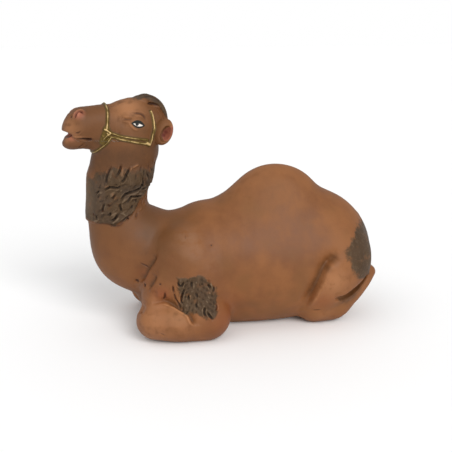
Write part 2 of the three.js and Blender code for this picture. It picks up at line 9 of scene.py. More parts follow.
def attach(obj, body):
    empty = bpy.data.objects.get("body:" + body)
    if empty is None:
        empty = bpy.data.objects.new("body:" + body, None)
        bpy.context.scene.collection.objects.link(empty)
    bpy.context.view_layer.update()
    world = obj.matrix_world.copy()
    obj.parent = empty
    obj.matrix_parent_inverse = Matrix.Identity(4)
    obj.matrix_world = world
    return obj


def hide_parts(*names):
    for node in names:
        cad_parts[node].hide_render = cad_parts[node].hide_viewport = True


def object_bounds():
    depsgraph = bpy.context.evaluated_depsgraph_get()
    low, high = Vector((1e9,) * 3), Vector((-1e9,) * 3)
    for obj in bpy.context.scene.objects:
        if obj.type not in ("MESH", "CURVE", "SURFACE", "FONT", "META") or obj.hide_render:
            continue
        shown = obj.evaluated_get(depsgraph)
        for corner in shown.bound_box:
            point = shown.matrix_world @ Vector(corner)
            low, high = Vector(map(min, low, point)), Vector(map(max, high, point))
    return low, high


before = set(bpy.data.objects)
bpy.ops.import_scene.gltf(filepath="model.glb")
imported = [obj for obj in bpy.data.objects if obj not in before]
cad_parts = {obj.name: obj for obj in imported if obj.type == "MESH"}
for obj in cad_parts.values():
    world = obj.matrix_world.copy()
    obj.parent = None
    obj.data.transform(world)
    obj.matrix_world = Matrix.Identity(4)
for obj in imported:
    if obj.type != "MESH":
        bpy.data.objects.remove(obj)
cad_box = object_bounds()

# A small lying camel of fired clay, painted by hand. It looks along -X and its left side faces -Y.
# The clay is worked in millimetres: its solid is remeshed finely, drawn onto the smooth form that
# the solid's faces stand for, carved, and then thinned and painted.

MM = 0.001

# Camera, at the angle of the photograph

VIEW_AZIMUTH = -10
VIEW_ELEVATION = 16
VIEW_DISTANCE = 0.330
VIEW_TARGET = Vector((0.00075, 0, 0.0434))
PIXEL_AT_TARGET = 0.00045
PICTURE_SIDE = 452
SENSOR = 36


def direction(azimuth, elevation):
    """The way to the camera or a light from the figure. At azimuth 0 it is -Y."""
    a, e = math.radians(azimuth), math.radians(elevation)
    return Vector((math.sin(a) * math.cos(e), -math.cos(a) * math.cos(e), math.sin(e)))


def add_camera():
    data = bpy.data.cameras.new("camera")
    data.sensor_width = SENSOR
    data.lens = SENSOR * VIEW_DISTANCE / (PIXEL_AT_TARGET * PICTURE_SIDE)
    data.clip_start = 0.01
    camera = bpy.data.objects.new("camera", data)
    back = direction(VIEW_AZIMUTH, VIEW_ELEVATION)
    camera.location = VIEW_TARGET + back * VIEW_DISTANCE
    camera.rotation_euler = back.to_track_quat("Z", "Y").to_euler()
    bpy.context.collection.objects.link(camera)
    bpy.context.scene.camera = camera


add_camera()

# The figure's driving sizes, the solid's own

SHIFT_X = 0.89
BARREL_RADIUS = 27.5
BARREL_FLATTENING = 0.94
HUMP_TOP = 71
HUMP_X = 22
NECK_X = -47.5
NECK_WIDTH = 0.86
HEAD_YAW = math.radians(12)
HEAD_PIVOT_X = -38
HEAD_Z = 91
SKULL_RADIUS = 10.5
MUZZLE_X = -60
SHIN_RADIUS = 8.8
SHIN_Y = 22.5
STIFLE_RADIUS = 8.2
STIFLE_Y = 11.5
SUNK = 0.25
RUFF_TOP = 72.5
RUFF_FRONT = 49
RUFF_NAPE = 65
RUFF_HEIGHT = 0.8
RUFF_STEP = 1.2
RUFF_FADE = 6

# How finely the clay is meshed, and how many faces stay

VOXEL = 0.6
TRIANGLES = 190000
FAR = 99.0
REACH = 10
TOUCHING = 1e-4
WELD = 1e-6


# Forms: each is a function of points that gives their distance from its surface, negative inside


def soft_min(a, b, softness):
    h = np.maximum(softness - np.abs(a - b), 0)
    return np.minimum(a, b) - h * h / (4 * softness)


def soft_max(a, b, softness):
    return -soft_min(-a, -b, softness)


def smooth_step(value, low, high):
    t = np.clip((value - low) / (high - low), 0, 1)
    return t * t * (3 - 2 * t)


def near_box(distance, low, high):
    """The form, worked out only for points near its own box."""

    def limited(points):
        result = np.full(len(points), FAR)
        near = ((points > low - REACH) & (points < high + REACH)).all(axis=1)
        if near.any():
            result[near] = distance(points[near])
        return result

    return limited


def lump(centre, radii, turn=(0, 0, 0)):
    """An ellipsoid, turned about its own middle."""
    centre, radii = np.array(centre, float), np.array(radii, float)
    turns = [Matrix.Rotation(math.radians(angle), 3, axis) for angle, axis in zip(turn, "XYZ")]
    turned = np.array(turns[0] @ turns[1] @ turns[2])

    def distance(points):
        q = (points - centre) @ turned
        near = np.linalg.norm(q / radii, axis=1)
        steep = np.linalg.norm(q / radii**2, axis=1)
        return near * (near - 1) / np.maximum(steep, 1e-6)

    return near_box(distance, centre - radii.max(), centre + radii.max())


def smooth_path(stations, steps):
    """Points along a centripetal Catmull-Rom curve through the stations."""
    p = np.array(stations, float)
    p = np.vstack([2 * p[0] - p[1], p, 2 * p[-1] - p[-2]])
    path = []
    for x0, x1, x2, x3 in zip(p, p[1:], p[2:], p[3:]):
        d0, d1, d2 = (np.linalg.norm(b - a) ** 0.5 for a, b in ((x0, x1), (x1, x2), (x2, x3)))
        d1 = d1 if d1 > TOUCHING else 1.0
        d0 = d0 if d0 > TOUCHING else d1
        d2 = d2 if d2 > TOUCHING else d1
        m1 = ((x1 - x0) / d0 - (x2 - x0) / (d0 + d1) + (x2 - x1) / d1) * d1
        m2 = ((x2 - x1) / d1 - (x3 - x1) / (d1 + d2) + (x3 - x2) / d2) * d1
        for t in np.arange(steps) / steps:
            cubic = 2 * x1 - 2 * x2 + m1 + m2
            square = -3 * x1 + 3 * x2 - 2 * m1 - m2
            path.append(((cubic * t + square) * t + m1) * t + x1)
    path.append(p[-2])
    return np.array(path)


def span_distance(points, a, b):
    """Distance of points from the span a-b, and how far along it they are, from 0 to 1."""
    span = b - a
    along = np.clip((points - a) @ span / (span @ span + 1e-9), 0, 1)
    return np.linalg.norm(points - a - along[:, None] * span, axis=1), along


def roll(stations, flattening=1.0, steps=5):
    """A rounded bar along a curve. Each station is x, y, z and radius."""
    stations = np.array(stations, float)
    path = smooth_path(stations[:, :3], steps)
    radii = smooth_path(stations[:, 3:], steps)[:, 0]
    low, high = path.min(axis=0) - radii.max(), path.max(axis=0) + radii.max()
    path[:, 1] /= flattening

    def distance(points):
        q = points / (1, flattening, 1)
        best = np.full(len(points), FAR)
        for a, b, ra, rb in zip(path, path[1:], radii, radii[1:]):
            d, along = span_distance(q, a, b)
            best = np.minimum(best, d - ra - along * (rb - ra))
        return best * min(flattening, 1)

    return near_box(distance, low, high)


def pressed(masses):
    """Masses pressed together. Each is a form and the softness of its seam."""

    def distance(points):
        result = np.full(len(points), FAR)
        for form, softness in masses:
            result = soft_min(result, form(points), softness)
        return result

    return distance


shank = roll([
    (39, STIFLE_Y, STIFLE_RADIUS - SUNK, STIFLE_RADIUS),
    (47.5, STIFLE_Y + 1, 7.2, 6.6),
    (54.8, 12.5, 10.6, 3.9),
    (61.3, 10.6, 16.9, 3.7),
    (64.7, 9.5, 21.2, 3.2),
])
body_form = pressed([
    (roll([
        (-25, 0, 27.6, 16.8),
        (-7, 0, 29.3, 26.2),
        (20, 0, 27.5, BARREL_RADIUS),
        (38, 0, 27.5, BARREL_RADIUS - 0.2),
        (44, 0, 28, 21),
    ], BARREL_FLATTENING), 6),
    (lump((6, 0, 12), (46, 17, 13.5)), 4),
    (lump((HUMP_X, 0, HUMP_TOP - 28), (25.2, 17, 28)), 9),
    (lump((43.3, 0, 31.5), (21.7, 21, 25.3)), 6),
    (lump((-39.3, 0, 35.3), (20.5, 16.5, 18.9), (0, 24, 0)), 8),
    (lump((-21, 12.3, 30.5), (12, 10.5, 15.5), (0, -10, 0)), 6),
    # foreleg
    (roll([
        (-34.4, SHIN_Y - 1.5, SHIN_RADIUS + 0.3, SHIN_RADIUS - 0.5),
        (-24, SHIN_Y, SHIN_RADIUS - SUNK, SHIN_RADIUS),
        (-12.5, SHIN_Y, SHIN_RADIUS - SUNK, SHIN_RADIUS),
    ]), 1.5),
    (roll([(-22, 13, 34, 13), (-29, 15.5, 25, 10), (-32.8, 16.5, 19, 7.2)]), 4),
    (roll([(-17, 14, 32, 11), (-14.6, 18, 20, 10.2), (-11.8, 20.8, 11, 9.1)]), 5),
    (lump((-24, 16, 23), (8, 9.5, 10)), 4),
    # hind leg
    (lump((46, 13.7, 27), (16.5, 11.8, 18.5), (0, 25, 0)), 5),
    (roll([
        (45, 15, 30, 9),
        (41, 15, 18, 8.5),
        (39, STIFLE_Y + 1, STIFLE_RADIUS + 1 - SUNK, STIFLE_RADIUS),
    ]), 4),
    (shank, 2),
])
hock_gap = roll([(45.5, 24, 14.3, 1), (50, 22.5, 13.8, 2), (54.5, 20, 16, 2.8), (60, 15.5, 20.8, 2.6)], 2.4)
neck_form = roll([
    (-40, 0, 37, 16.5),
    (NECK_X, 0, 48, 13.2),
    (NECK_X - 0.2, 0, 60, 12.7),
    (NECK_X + 1.2, 0, 70, 13.2),
    (NECK_X + 4.3, 0, 80, 13.6),
], NECK_WIDTH)

# Head, in its own frame: it looks along -X before it is turned to its left

head_form = pressed([
    (lump((HEAD_PIVOT_X - 0.5, 0, HEAD_Z), (11, SKULL_RADIUS - 1, SKULL_RADIUS - 0.6)), 4),
    (roll([(MUZZLE_X - 1, 0, 91.8, 6.8), (-50, 0, 91.5, 8.1), (-42, 0, 91.3, 9.5)]), 3),
    (lump((-62.6, 0, 90.3), (7.8, 6.8, 6), (0, -25, 0)), 3),
    (roll([(-62, 0, 85.2, 3.8), (-54, 0, 86.2, 6.4), (-44, 0, 84.6, 9.2)]), 3),
    (lump((-65.2, 0, 84.3), (5.1, 4.8, 3), (0, -8, 0)), 1.2),
    (lump((-43.5, 5, 86), (9, 5.6, 8.5)), 4),
    (lump((-41, 6.3, 95.6), (6.5, 3.4, 2.6), (0, 8, 0)), 2),
    (lump((-62.6, 4, 94.2), (3.2, 2.4, 2.3), (0, -25, 0)), 1.6),
])
lip_gap = lump((-70.5, 0, 87.7), (4.8, 8, 1.5))
LIDS = lump((-40.8, 8.2, 91.8), (3.5, 1.7, 2.7), (0, 12, 0))
EYE = (-40.8, 91.55)
eyeball = lump((EYE[0], 8.8, EYE[1]), (2.4, 1.7, 1.7))
ear = lump((-29.6, 9.1, 87.7), (3.9, 3.8, 5.7), (0, 20, -25))
ear_cup = lump((-29.1, 12.8, 86.9), (2.3, 4.2, 3.8), (0, 20, -25))
forelock = pressed([
    (roll([
        (-37.5, y * 0.8, 100.4, 1.6),
        (-33.5, y, 100.6, 2),
        (-30, y, 98.2, 2.1),
        (-28, y * 0.9, 95.2, 1.9),
        (-27.2, y * 0.9, 92, 1.7),
    ]), 1.6)
    for y in (-3, 0, 3)
])


def folded(points):
    """The points with their far half turned over onto the near half, for forms alike on both sides."""
    return points * (1, 0, 1) + np.abs(points) * (0, 1, 0)


def to_head(points):
    dx, y = points[:, 0] - SHIFT_X - HEAD_PIVOT_X, points[:, 1]
    c, s = math.cos(HEAD_YAW), math.sin(HEAD_YAW)
    return np.column_stack([HEAD_PIVOT_X + dx * c + y * s, y * c - dx * s, points[:, 2]])


def from_head(points):
    dx, y = points[:, 0] - HEAD_PIVOT_X, points[:, 1]
    c, s = math.cos(HEAD_YAW), math.sin(HEAD_YAW)
    return np.column_stack([SHIFT_X + HEAD_PIVOT_X + dx * c - y * s, dx * s + y * c, points[:, 2]])


def neck_angle(points):
    """Angle round the neck from its front, in degrees, alike on both sides."""
    return np.degrees(np.arctan2(np.abs(points[:, 1]), NECK_X + SHIFT_X - points[:, 0]))


def ruff_edge(angle):
    return RUFF_FRONT + (RUFF_NAPE - RUFF_FRONT) * ((1 - np.cos(np.radians(angle))) / 2) ** 4


def ruff_collar(points):
    """Thickness of the hair round the neck, fading out upwards."""
    above = points[:, 2] - ruff_edge(neck_angle(points))
    below_top = RUFF_TOP + 2 - points[:, 2]
    return RUFF_HEIGHT * smooth_step(above, 0, RUFF_STEP) * smooth_step(below_top, 0, RUFF_FADE)


def head_distance(points):
    fold = folded(points)
    d = soft_max(head_form(fold), -lip_gap(fold), 0.6)
    d = soft_min(d, LIDS(fold), 1.0)
    d = soft_min(d, eyeball(fold), 0.3)
    d = soft_min(d, forelock(points), 1.0)
    d = soft_min(d, ear(fold), 2.5)
    return soft_max(d, -ear_cup(fold), 0.6)


def clay(points):
    """The whole form, cut flat where it stands."""
    p = points - (SHIFT_X, 0, 0)
    fold = folded(p)
    body = soft_max(body_form(fold), -hock_gap(fold), 1.0)
    throat = neck_form(fold)
    near = throat < 3
    throat[near] -= ruff_collar(points[near])
    whole = soft_min(soft_min(body, throat, 5), head_distance(to_head(points)), 3)
    return np.maximum(whole, -points[:, 2])


# The mesh: the solid merged, remeshed, made finer where it is carved, and drawn onto the form


def only(piece):
    """Selects one object alone and makes it active."""
    bpy.ops.object.select_all(action="DESELECT")
    piece.select_set(True)
    bpy.context.view_layer.objects.active = piece


def apply_modifier(piece, kind, **settings):
    modifier = piece.modifiers.new(kind.lower(), kind)
    for name, value in settings.items():
        setattr(modifier, name, value)
    only(piece)
    bpy.ops.object.modifier_apply(modifier=modifier.name)


def places(mesh):
    flat = np.empty(len(mesh.vertices) * 3)
    mesh.vertices.foreach_get("co", flat)
    return flat.reshape(-1, 3) / MM


def put(mesh, points):
    mesh.vertices.foreach_set("co", (points * MM).ravel())
    mesh.update()


def normals(mesh):
    flat = np.empty(len(mesh.vertices) * 3, np.float32)
    mesh.vertex_normals.foreach_get("vector", flat)
    return flat.reshape(-1, 3).astype(float)


def finely_worked(points):
    """Where the clay is carved finely: the head, the hair and the forelegs' tufts."""
    x, y, z = points.T
    head_and_hair = (z > 46) & (x < -24)
    tuft = (z > 9) & (z < 34) & (x > -44) & (x < -4) & (np.abs(y) > 13)
    return head_and_hair | tuft


def refine(mesh_object, where):
    """Divides the faces whose middles lie where the test holds."""
    mesh = mesh_object.data
    middles = np.empty(len(mesh.polygons) * 3)
    mesh.polygons.foreach_get("center", middles)
    chosen = where(middles.reshape(-1, 3) / MM)
    only(mesh_object)
    bpy.ops.object.mode_set(mode="EDIT")
    bpy.ops.mesh.select_mode(type="FACE")
    bpy.ops.mesh.select_all(action="DESELECT")
    bpy.ops.object.mode_set(mode="OBJECT")
    mesh.polygons.foreach_set("select", chosen)
    bpy.ops.object.mode_set(mode="EDIT")
    bpy.ops.mesh.subdivide(number_cuts=1)
    bpy.ops.object.mode_set(mode="OBJECT")


def draw_onto(mesh, form, rounds=4, probe=0.05, least_slope=0.3, most_slope=1.5, stride=0.5):
    """Moves each point along its normal until it lies on the form."""
    points, out = places(mesh), normals(mesh)
    for _ in range(rounds):
        d = form(points)
        slope = (form(points + out * probe) - d) / probe
        points -= out * np.clip(d / np.clip(slope, least_slope, most_slope), -stride, stride)[:, None]
    points[:, 2] = np.maximum(points[:, 2], 0)
    put(mesh, points)


def make_figure():
    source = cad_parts["camel_figure"]
    figure = bpy.data.objects.new("painted_camel", source.data.copy())
    figure.data.materials.clear()
    bpy.context.collection.objects.link(figure)
    only(figure)
    bpy.ops.object.mode_set(mode="EDIT")
    bpy.ops.mesh.select_all(action="SELECT")
    bpy.ops.mesh.remove_doubles(threshold=WELD)
    bpy.ops.object.mode_set(mode="OBJECT")
    apply_modifier(figure, "REMESH", mode="VOXEL", voxel_size=VOXEL * MM)
    refine(figure, finely_worked)
    draw_onto(figure.data, clay)
    return figure


figure = make_figure()


# Carving: grooves cut with a point, and threads and locks of clay laid on

surface = None


def read_surface():
    """Keeps the present surface, so that lines can be laid on it."""
    global surface
    mesh = figure.data
    mesh.calc_loop_triangles()
    triangles = np.empty(len(mesh.loop_triangles) * 3, np.int32)
    mesh.loop_triangles.foreach_get("vertices", triangles)
    surface = BVHTree.FromPolygons(places(mesh).tolist(), triangles.reshape(-1, 3).tolist())


def on_surface(stations, spacing=0.5):
    """A smooth path through the stations, laid on the clay."""
    rough = smooth_path([surface.find_nearest(Vector(s))[0] for s in stations], 8)
    length = np.linalg.norm(np.diff(rough, axis=0), axis=1).sum()
    keep = np.linspace(0, len(rough) - 1, max(int(length / spacing), 2)).round().astype(int)
    return np.array([surface.find_nearest(Vector(s))[0] for s in rough[keep]])


def nearest_on(points, path, reach):
    """Distance of points from a path, FAR beyond reach, with how far along it and how far off it they are."""
    distance = np.full(len(points), FAR)
    along = np.zeros(len(points))
    offset = np.zeros((len(points), 3))
    low, high = path.min(axis=0) - reach, path.max(axis=0) + reach
    near = np.flatnonzero(((points > low) & (points < high)).all(axis=1))
    chosen = points[near]
    steps = len(path) - 1
    for n, (a, b) in enumerate(zip(path, path[1:])):
        d, t = span_distance(chosen, a, b)
        closer = d < distance[near]
        spot = near[closer]
        distance[spot] = d[closer]
        along[spot] = (n + t[closer]) / steps
        offset[spot] = chosen[closer] - a - t[closer, None] * (b - a)
    return distance, along, offset


def both_sides(stations):
    """The line given and its likeness on the other side."""
    stations = np.array(stations, float)
    return [stations, stations * (1, -1, 1)]


def on_head(stations):
    """Stations given on the head's left, in its frame, as lines on both of its sides."""
    return [from_head(side) for side in both_sides(stations)]


def on_ruff(stations):
    """Stations of angle round the neck and height, as lines on both sides of the neck."""
    stations = np.array(stations, float)
    angle, z = np.radians(stations[:, 0]), stations[:, 1]
    x = NECK_X + SHIFT_X - 13 * np.cos(angle)
    return both_sides(np.column_stack([x, -12 * np.sin(angle), z]))


read_surface()
start = places(figure.data)
outward = normals(figure.data)
carved = np.zeros(len(start))
fine = np.zeros(len(start))
# Painted shade along the folds and painted highlights on their lips, gathered while carving
shade = np.zeros(len(start))
light = np.zeros(len(start))
gold = np.full(len(start), FAR)
ink = np.full(len(start), FAR)


def faded(along, share=0.3, least=0.25):
    """1 along a line's middle, falling to least at its two ends."""
    return least + (1 - least) * smooth_step(np.minimum(along, 1 - along), 0, share)


def bell(distance, width):
    """1 at no distance, falling away smoothly over the width."""
    return np.exp(-((distance / width) ** 2))


def stroke(change):
    """Adds a narrow mark, which the paint follows too."""
    global carved, fine
    carved = carved + change
    fine = fine + change


def cut(lines, width, depth, burr=0.25, inked=0.0):
    """A groove cut with a point, shallower at its ends, with a low burr on both sides."""
    global ink
    for stations in lines:
        d, along, _ = nearest_on(start, on_surface(stations), 4 * width)
        groove = -depth * bell(d, width)
        lips = burr * depth * bell(d - 1.9 * width, 0.8 * width)
        stroke((groove + lips) * faded(along))
        if inked:
            ink = np.minimum(ink, d - inked * faded(along, 0.4, 0.3))


def pit(places_of_pits, width, depth):
    """Small holes pricked with a point."""
    global ink
    for place in places_of_pits:
        middle = np.array(surface.find_nearest(Vector(place))[0])
        d = np.linalg.norm(start - middle, axis=1)
        stroke(-depth * bell(d, width))
        ink = np.minimum(ink, d - 0.8 * width)


def raise_line(lines, width, height):
    """A narrow ridge, lower at its ends."""
    for stations in lines:
        d, along, _ = nearest_on(start, on_surface(stations), 3 * width)
        stroke(height * bell(d, width) * faded(along, 0.3, 0.1))


def fold(lines, toward, gentle, steep, depth, lip, line=0.3, lit=0.0):
    """A fold: the clay slopes gently down to a line and rises steeply behind it to a lip; painted shade lies
    along the line and a painted highlight on the lip.
    """
    global carved, shade, light
    for stations in lines:
        d, along, offset = nearest_on(start, on_surface(stations), 3 * gentle)
        stroke(-line * bell(d, 0.6) * faded(along))
        behind = offset @ np.array(toward, float) > 0
        slope = -depth * bell(d, np.where(behind, steep, gentle))
        # painted shade beside the line, and a painted highlight on the lip
        shade = np.maximum(shade, 0.9 * bell(d, np.where(behind, 0.5, 0.75 * gentle)) * faded(along))
        light = np.maximum(light, np.where(behind, lit * bell(d - 2.2 * steep, 0.7), 0) * faded(along))
        edge = np.where(behind, lip * bell(d - 2.3 * steep, 1.3 * steep), 0)
        carved += (slope + edge) * faded(along, 0.2, 0.15)


def lay(lines, width, height, shine=1.0):
    """A rounded thread of clay laid on the surface, to be gilded, with a painted highlight along its middle
    that is brighter the larger its shine.
    """
    global carved, gold
    for stations in lines:
        d, _, _ = nearest_on(start, on_surface(stations), width + 3)
        thread = height * np.sqrt(np.clip(1 - (d / width) ** 2, 0, 1))
        carved = np.where(d < width, np.maximum(carved, thread), carved)
        gold = np.minimum(gold, np.maximum(d - width, -shine))


def swell(lines, radius, height):
    """Soft lumps along lines, such as the body of a lock of hair."""
    global carved
    for stations in lines:
        d, along, _ = nearest_on(start, on_surface(stations), 3 * radius)
        carved += height * bell(d, radius) * faded(along, 0.3, 0.4)


# Ruff: locks parted by curved cuts, with light ridges beside them

RUFF_CUTS = [
    [(75, 74.5), (71, 72), (68, 69.7), (68, 66.9)], [(96, 75), (93, 72.8), (89, 70.9)],
    [(115, 74.8), (105, 71.1), (100, 68.9), (93, 67.7)], [(45, 62.5), (52, 64.1)],
    [(60, 63.9), (72, 65.7), (88, 65.6), (96, 66.5)],
    [(133, 70.7), (138, 68.3), (136, 66.1), (131, 64.7), (119, 64), (112, 63.3), (102, 62.8), (95, 60.9),
     (92, 59.5)],
    [(144, 62.9), (139, 61.5), (127, 61.1), (113, 61.4), (109, 60.3), (106, 58.9)],
    [(84, 62.9), (80, 61.8), (76, 60.8)], [(62, 58.7), (59, 56.9), (57, 55.4)],
    [(91, 58.2), (92, 56.7), (93, 55.4)], [(85, 54), (81, 52.5), (76, 51.3)], [(74, 54.6), (70, 53.7)],
    [(45, 53.4), (45, 51.9)], [(112, 53.4), (101, 52.3), (90, 50.5)], [(116, 57.6), (113, 56.2)],
    [(123, 59.6), (124, 58.6)], [(149, 64.9), (140, 63.8)], [(155, 69.4), (162, 72)],
    [(146, 71), (150, 68.6), (147, 66.6)], [(168, 70), (166, 67), (160, 65.6)],
]
RUFF_RIDGES = [
    [(66, 64.2), (71, 64.9), (77, 65.4)], [(82, 64.6), (91, 64.6), (98, 64)],
    [(46, 62.3), (53, 63.3), (58, 63.7)], [(114, 62.3), (123, 63), (130, 63.4)], [(130, 61.6), (141, 61.7)],
    [(72, 62.4), (77, 63.2), (84, 63.9)], [(56, 54.4), (60, 55.4)], [(73, 53.5), (80, 54.5), (85, 55)],
    [(89, 54.9), (96, 54.3), (102, 53.3)], [(74, 50), (83, 51.6), (91, 52.8)], [(38, 50.7), (48, 51.3)],
    [(94, 56.7), (95, 58.6), (100, 60.3), (107, 61.3)], [(146, 67.1), (151, 67.6)],
    [(82, 74.5), (77, 71.3), (75, 69.3)], [(102, 74), (97, 71.3), (96, 69.8)],
    [(116, 73.4), (123, 74.5), (131, 75.2)], [(114, 74.9), (113, 72.4)],
]
RUFF_SWELLS = [
    [(117, 68.6), (115, 65.6)], [(103, 58.8), (103, 55.4)], [(84, 73), (81, 70)], [(66, 61), (64, 58)],
    [(50, 56), (48, 53)], [(84, 58.5), (80, 56)], [(128, 63), (112, 62.2)], [(56, 68), (57, 65)],
]
RUFF_HEM = [(30, 50.6), (42, 50.1), (59, 50.1), (79, 49.2), (89, 49.6), (97, 50.8), (107, 52.2), (116, 53.3)]
RUFF_PITS = [(38, 53.6), (58, 55.6), (70, 58.1)]
RUFF_STROKES = 64
SPREAD = 0.618  # step that spreads strokes evenly over a band
UPRIGHT_ABOVE = 67
for stations in RUFF_SWELLS:
    swell(on_ruff(stations), radius=2.4, height=0.6)
for stations in RUFF_CUTS:
    cut(on_ruff(stations), width=0.4, depth=0.9, burr=0.35)
for stations in RUFF_RIDGES:
    raise_line(on_ruff(stations), width=0.45, height=0.42)
for n in range(RUFF_STROKES):
    angle, z = 48 + 122 * ((n * SPREAD) % 1), 51.5 + 20 * n / RUFF_STROKES
    z += 0.1 * max(angle - 112, 0)
    lean = 95 + 25 * math.sin(1.3 * n) if z > UPRIGHT_ABOVE else 42 + 22 * math.sin(1.9 * n)
    run, rise = 7.5 * math.cos(math.radians(lean)), 1.5 * math.sin(math.radians(lean))
    curl = 0.7 * math.sin(2.9 * n)
    stations = [(angle - run, z - rise), (angle, z + curl), (angle + run, z + rise)]
    if n % 3:
        cut(on_ruff(stations), width=0.4, depth=0.42, burr=0.3)
    else:
        raise_line(on_ruff(stations), width=0.36, height=0.25)
cut(on_ruff(RUFF_HEM), width=0.5, depth=0.4, burr=0)
pit([side[0] for place in RUFF_PITS for side in on_ruff([place])], width=0.5, depth=0.55)

# Foreleg's tuft: short strokes between a few longer cuts

TUFT_STROKES = 60
TUFT_CUTS = [
    [(-24.3, -26.4, 28.7), (-23.9, -26.6, 26.4), (-22.9, -26.8, 26), (-22, -27.1, 27.4)],
    [(-18.5, -27.3, 28), (-18.7, -27.3, 24.9)], [(-14.2, -27.7, 26.8), (-14, -27.7, 26.2)],
    [(-11.7, -27.5, 26.9), (-10.1, -27.6, 23.8)],
    [(-21.7, -27.1, 24.4), (-22.6, -26.6, 21.9), (-23, -26.2, 19), (-22.3, -26.8, 17.8)],
    [(-19.9, -27.4, 22), (-20.2, -27.2, 19.2)], [(-16.7, -28, 22.7), (-16.4, -28.2, 20.7)],
    [(-17.1, -28.4, 18.8), (-17, -29.5, 16.8)],
    [(-13.1, -29.7, 17.6), (-13.9, -30.4, 15.2), (-13.1, -31.4, 13.1)],
    [(-12.6, -30.7, 15.2), (-10.5, -31.6, 12)], [(-8.1, -28.7, 17.9), (-8.4, -29.9, 15.6)],
    [(-9.2, -26.8, 25.2), (-9, -27.3, 22.6)], [(-26.4, -26.2, 26.1), (-26.1, -26.2, 23.3)],
]
for stations in TUFT_CUTS:
    cut(both_sides(stations), width=0.4, depth=0.85, burr=0.4)
for n in range(TUFT_STROKES):
    x = -23.2 + 14 * ((n * SPREAD) % 1)
    z = 28.3 - 14.5 * n / TUFT_STROKES
    lean, length = 1.1 * math.sin(2.4 * n), 0.4 + 0.5 * math.sin(1.7 * n) ** 2
    stations = [(x, -27.5, z + length), (x + 0.7 * lean, -27.8, z), (x + lean, -28, z - length)]
    if n % 4:
        cut(both_sides(stations), width=0.34, depth=0.4, burr=0.3)
    else:
        raise_line(both_sides(stations), width=0.32, height=0.36)

# Folds, creases and marks on the body

THIGH_FOLD = [
    (43.9, -24.5, 35), (41.5, -25, 33), (39.8, -25.8, 31), (38.4, -26.1, 28.4), (37.4, -25.8, 25.4),
    (36.1, -25.1, 21.8), (34.8, -23.4, 17.8), (33.4, -21.7, 13.9), (32.2, -20, 9.8),
]
THIGH_RIDGE = [
    (46.9, -26.4, 31.4), (45, -26.4, 30.5), (43, -27.2, 27.4), (41.3, -27.1, 23.8), (39.6, -26.7, 20.5),
    (37.5, -24, 15),
]
PAW_FOLD = [
    (-34.5, -25, 18.6), (-30, -25.3, 18.8), (-26.2, -25.9, 17.4), (-23.2, -27.6, 15.8), (-20.3, -29.9, 14.4),
    (-18.8, -31, 11.4), (-17.3, -31.4, 10.4),
]
CHEST_FOLD = [
    (-32.5, -19.8, 38.4), (-33.9, -19.8, 35.8), (-36.2, -19, 31.9), (-38.2, -18.3, 28), (-40.8, -15.2, 24.7),
]
SHORT_FOLD = [(-32.7, -23.1, 30.4), (-34.7, -23, 26.8), (-37.6, -22.2, 23.3)]
BODY_FOLDS = [  # line, the way to its steep side, gentle and steep width, depth, lip, line, light
    # the last value is how strong the painted highlight on the lip is; the shade along each line is painted
    # too
    (THIGH_FOLD, (1, 0, -0.5), 3.2, 1.0, 2.5, 0.8, 0.1, 0.6),
    (PAW_FOLD, (-0.4, 0, -1), 1.7, 0.5, 1.3, 0.6, 0.15, 1.0),
    (CHEST_FOLD, (1, 0, -0.3), 2.2, 0.8, 1.3, 0.3, 0.08, 0.0),
    (SHORT_FOLD, (1, 0, -0.4), 1.8, 0.7, 1.1, 0.3, 0.08, 0.0),
]
BODY_SWELLS = [  # line, radius, height
    (THIGH_RIDGE, 4, 0.9),
    ([(44.6, -24.5, 35.2), (42.4, -24.8, 33), (40.8, -25, 31.4)], 2.4, -2.0),
    ([(-33.9, -24.4, 24), (-34.6, -24.8, 21.6), (-33.8, -25, 19.3)], 1.3, -0.8),
    ([(-39.6, -20.8, 17.2), (-41.6, -22.2, 13.4)], 3, -1.3),
    ([(-38, -27.4, 9.6), (-30, -30.8, 9.4), (-22, -31.2, 9)], 1.6, 0.35),
]
BODY_CUTS = [  # line, width, depth, ink
    ([(35.7, -20.6, 8.6), (37.8, -21.3, 8.6), (40.2, -21.8, 9.1)], 0.4, 0.35, 0.1),
    ([(-26.1, -26.2, 23.3), (-25.2, -25.9, 19.7), (-23.4, -26.9, 16.5)], 0.42, 0.6, 0.12),
    ([(-29.7, -25.5, 23.3), (-29.9, -25.2, 20.5), (-30.6, -25.2, 19.3)], 0.5, 0.7, 0.1),
    ([(-32.6, -29.4, 6.9), (-30, -29.4, 5.3)], 0.35, 0.35, 0),
]
for stations, *sizes in BODY_FOLDS:
    fold(both_sides(stations), *sizes)
for stations, radius, height in BODY_SWELLS:
    swell(both_sides(stations), radius, height)
for stations, width, depth, inked in BODY_CUTS:
    cut(both_sides(stations), width, depth, inked=inked)
cut([[(-39, -16.9, 33.9), (-36.5, -18.6, 32.2)]], width=0.25, depth=0.35, inked=0.22)
cut([[(-20.1, -19.3, 46.3), (-20.1, -21.4, 44.6)]], width=0.3, depth=0.3)
pit([(-41, -15, 24.5), (-38.7, -19.6, 24.9), (-41, 15, 24.5)], width=0.75, depth=0.8)
pit([(-31.5, -24.8, 26.7), (-9.3, -21.9, 41.7)], width=0.45, depth=0.5)

# Tail, pressed flat to the rump

swell([[(62.5, 1, 46), (65, 3, 38), (65.6, 5, 30), (65, 6.5, 24)]], radius=2.4, height=0.9)
for y in (-1.6, -0.6, 0.6, 1.6):
    hair_line = [(62.5, 1 + 0.5 * y, 46), (65, 3 + 0.8 * y, 38), (65.6, 5 + y, 30), (65, 6.5 + y, 23)]
    cut([hair_line], width=0.35, depth=0.4, burr=0.3)

# Bridle, raised on both sides of the head

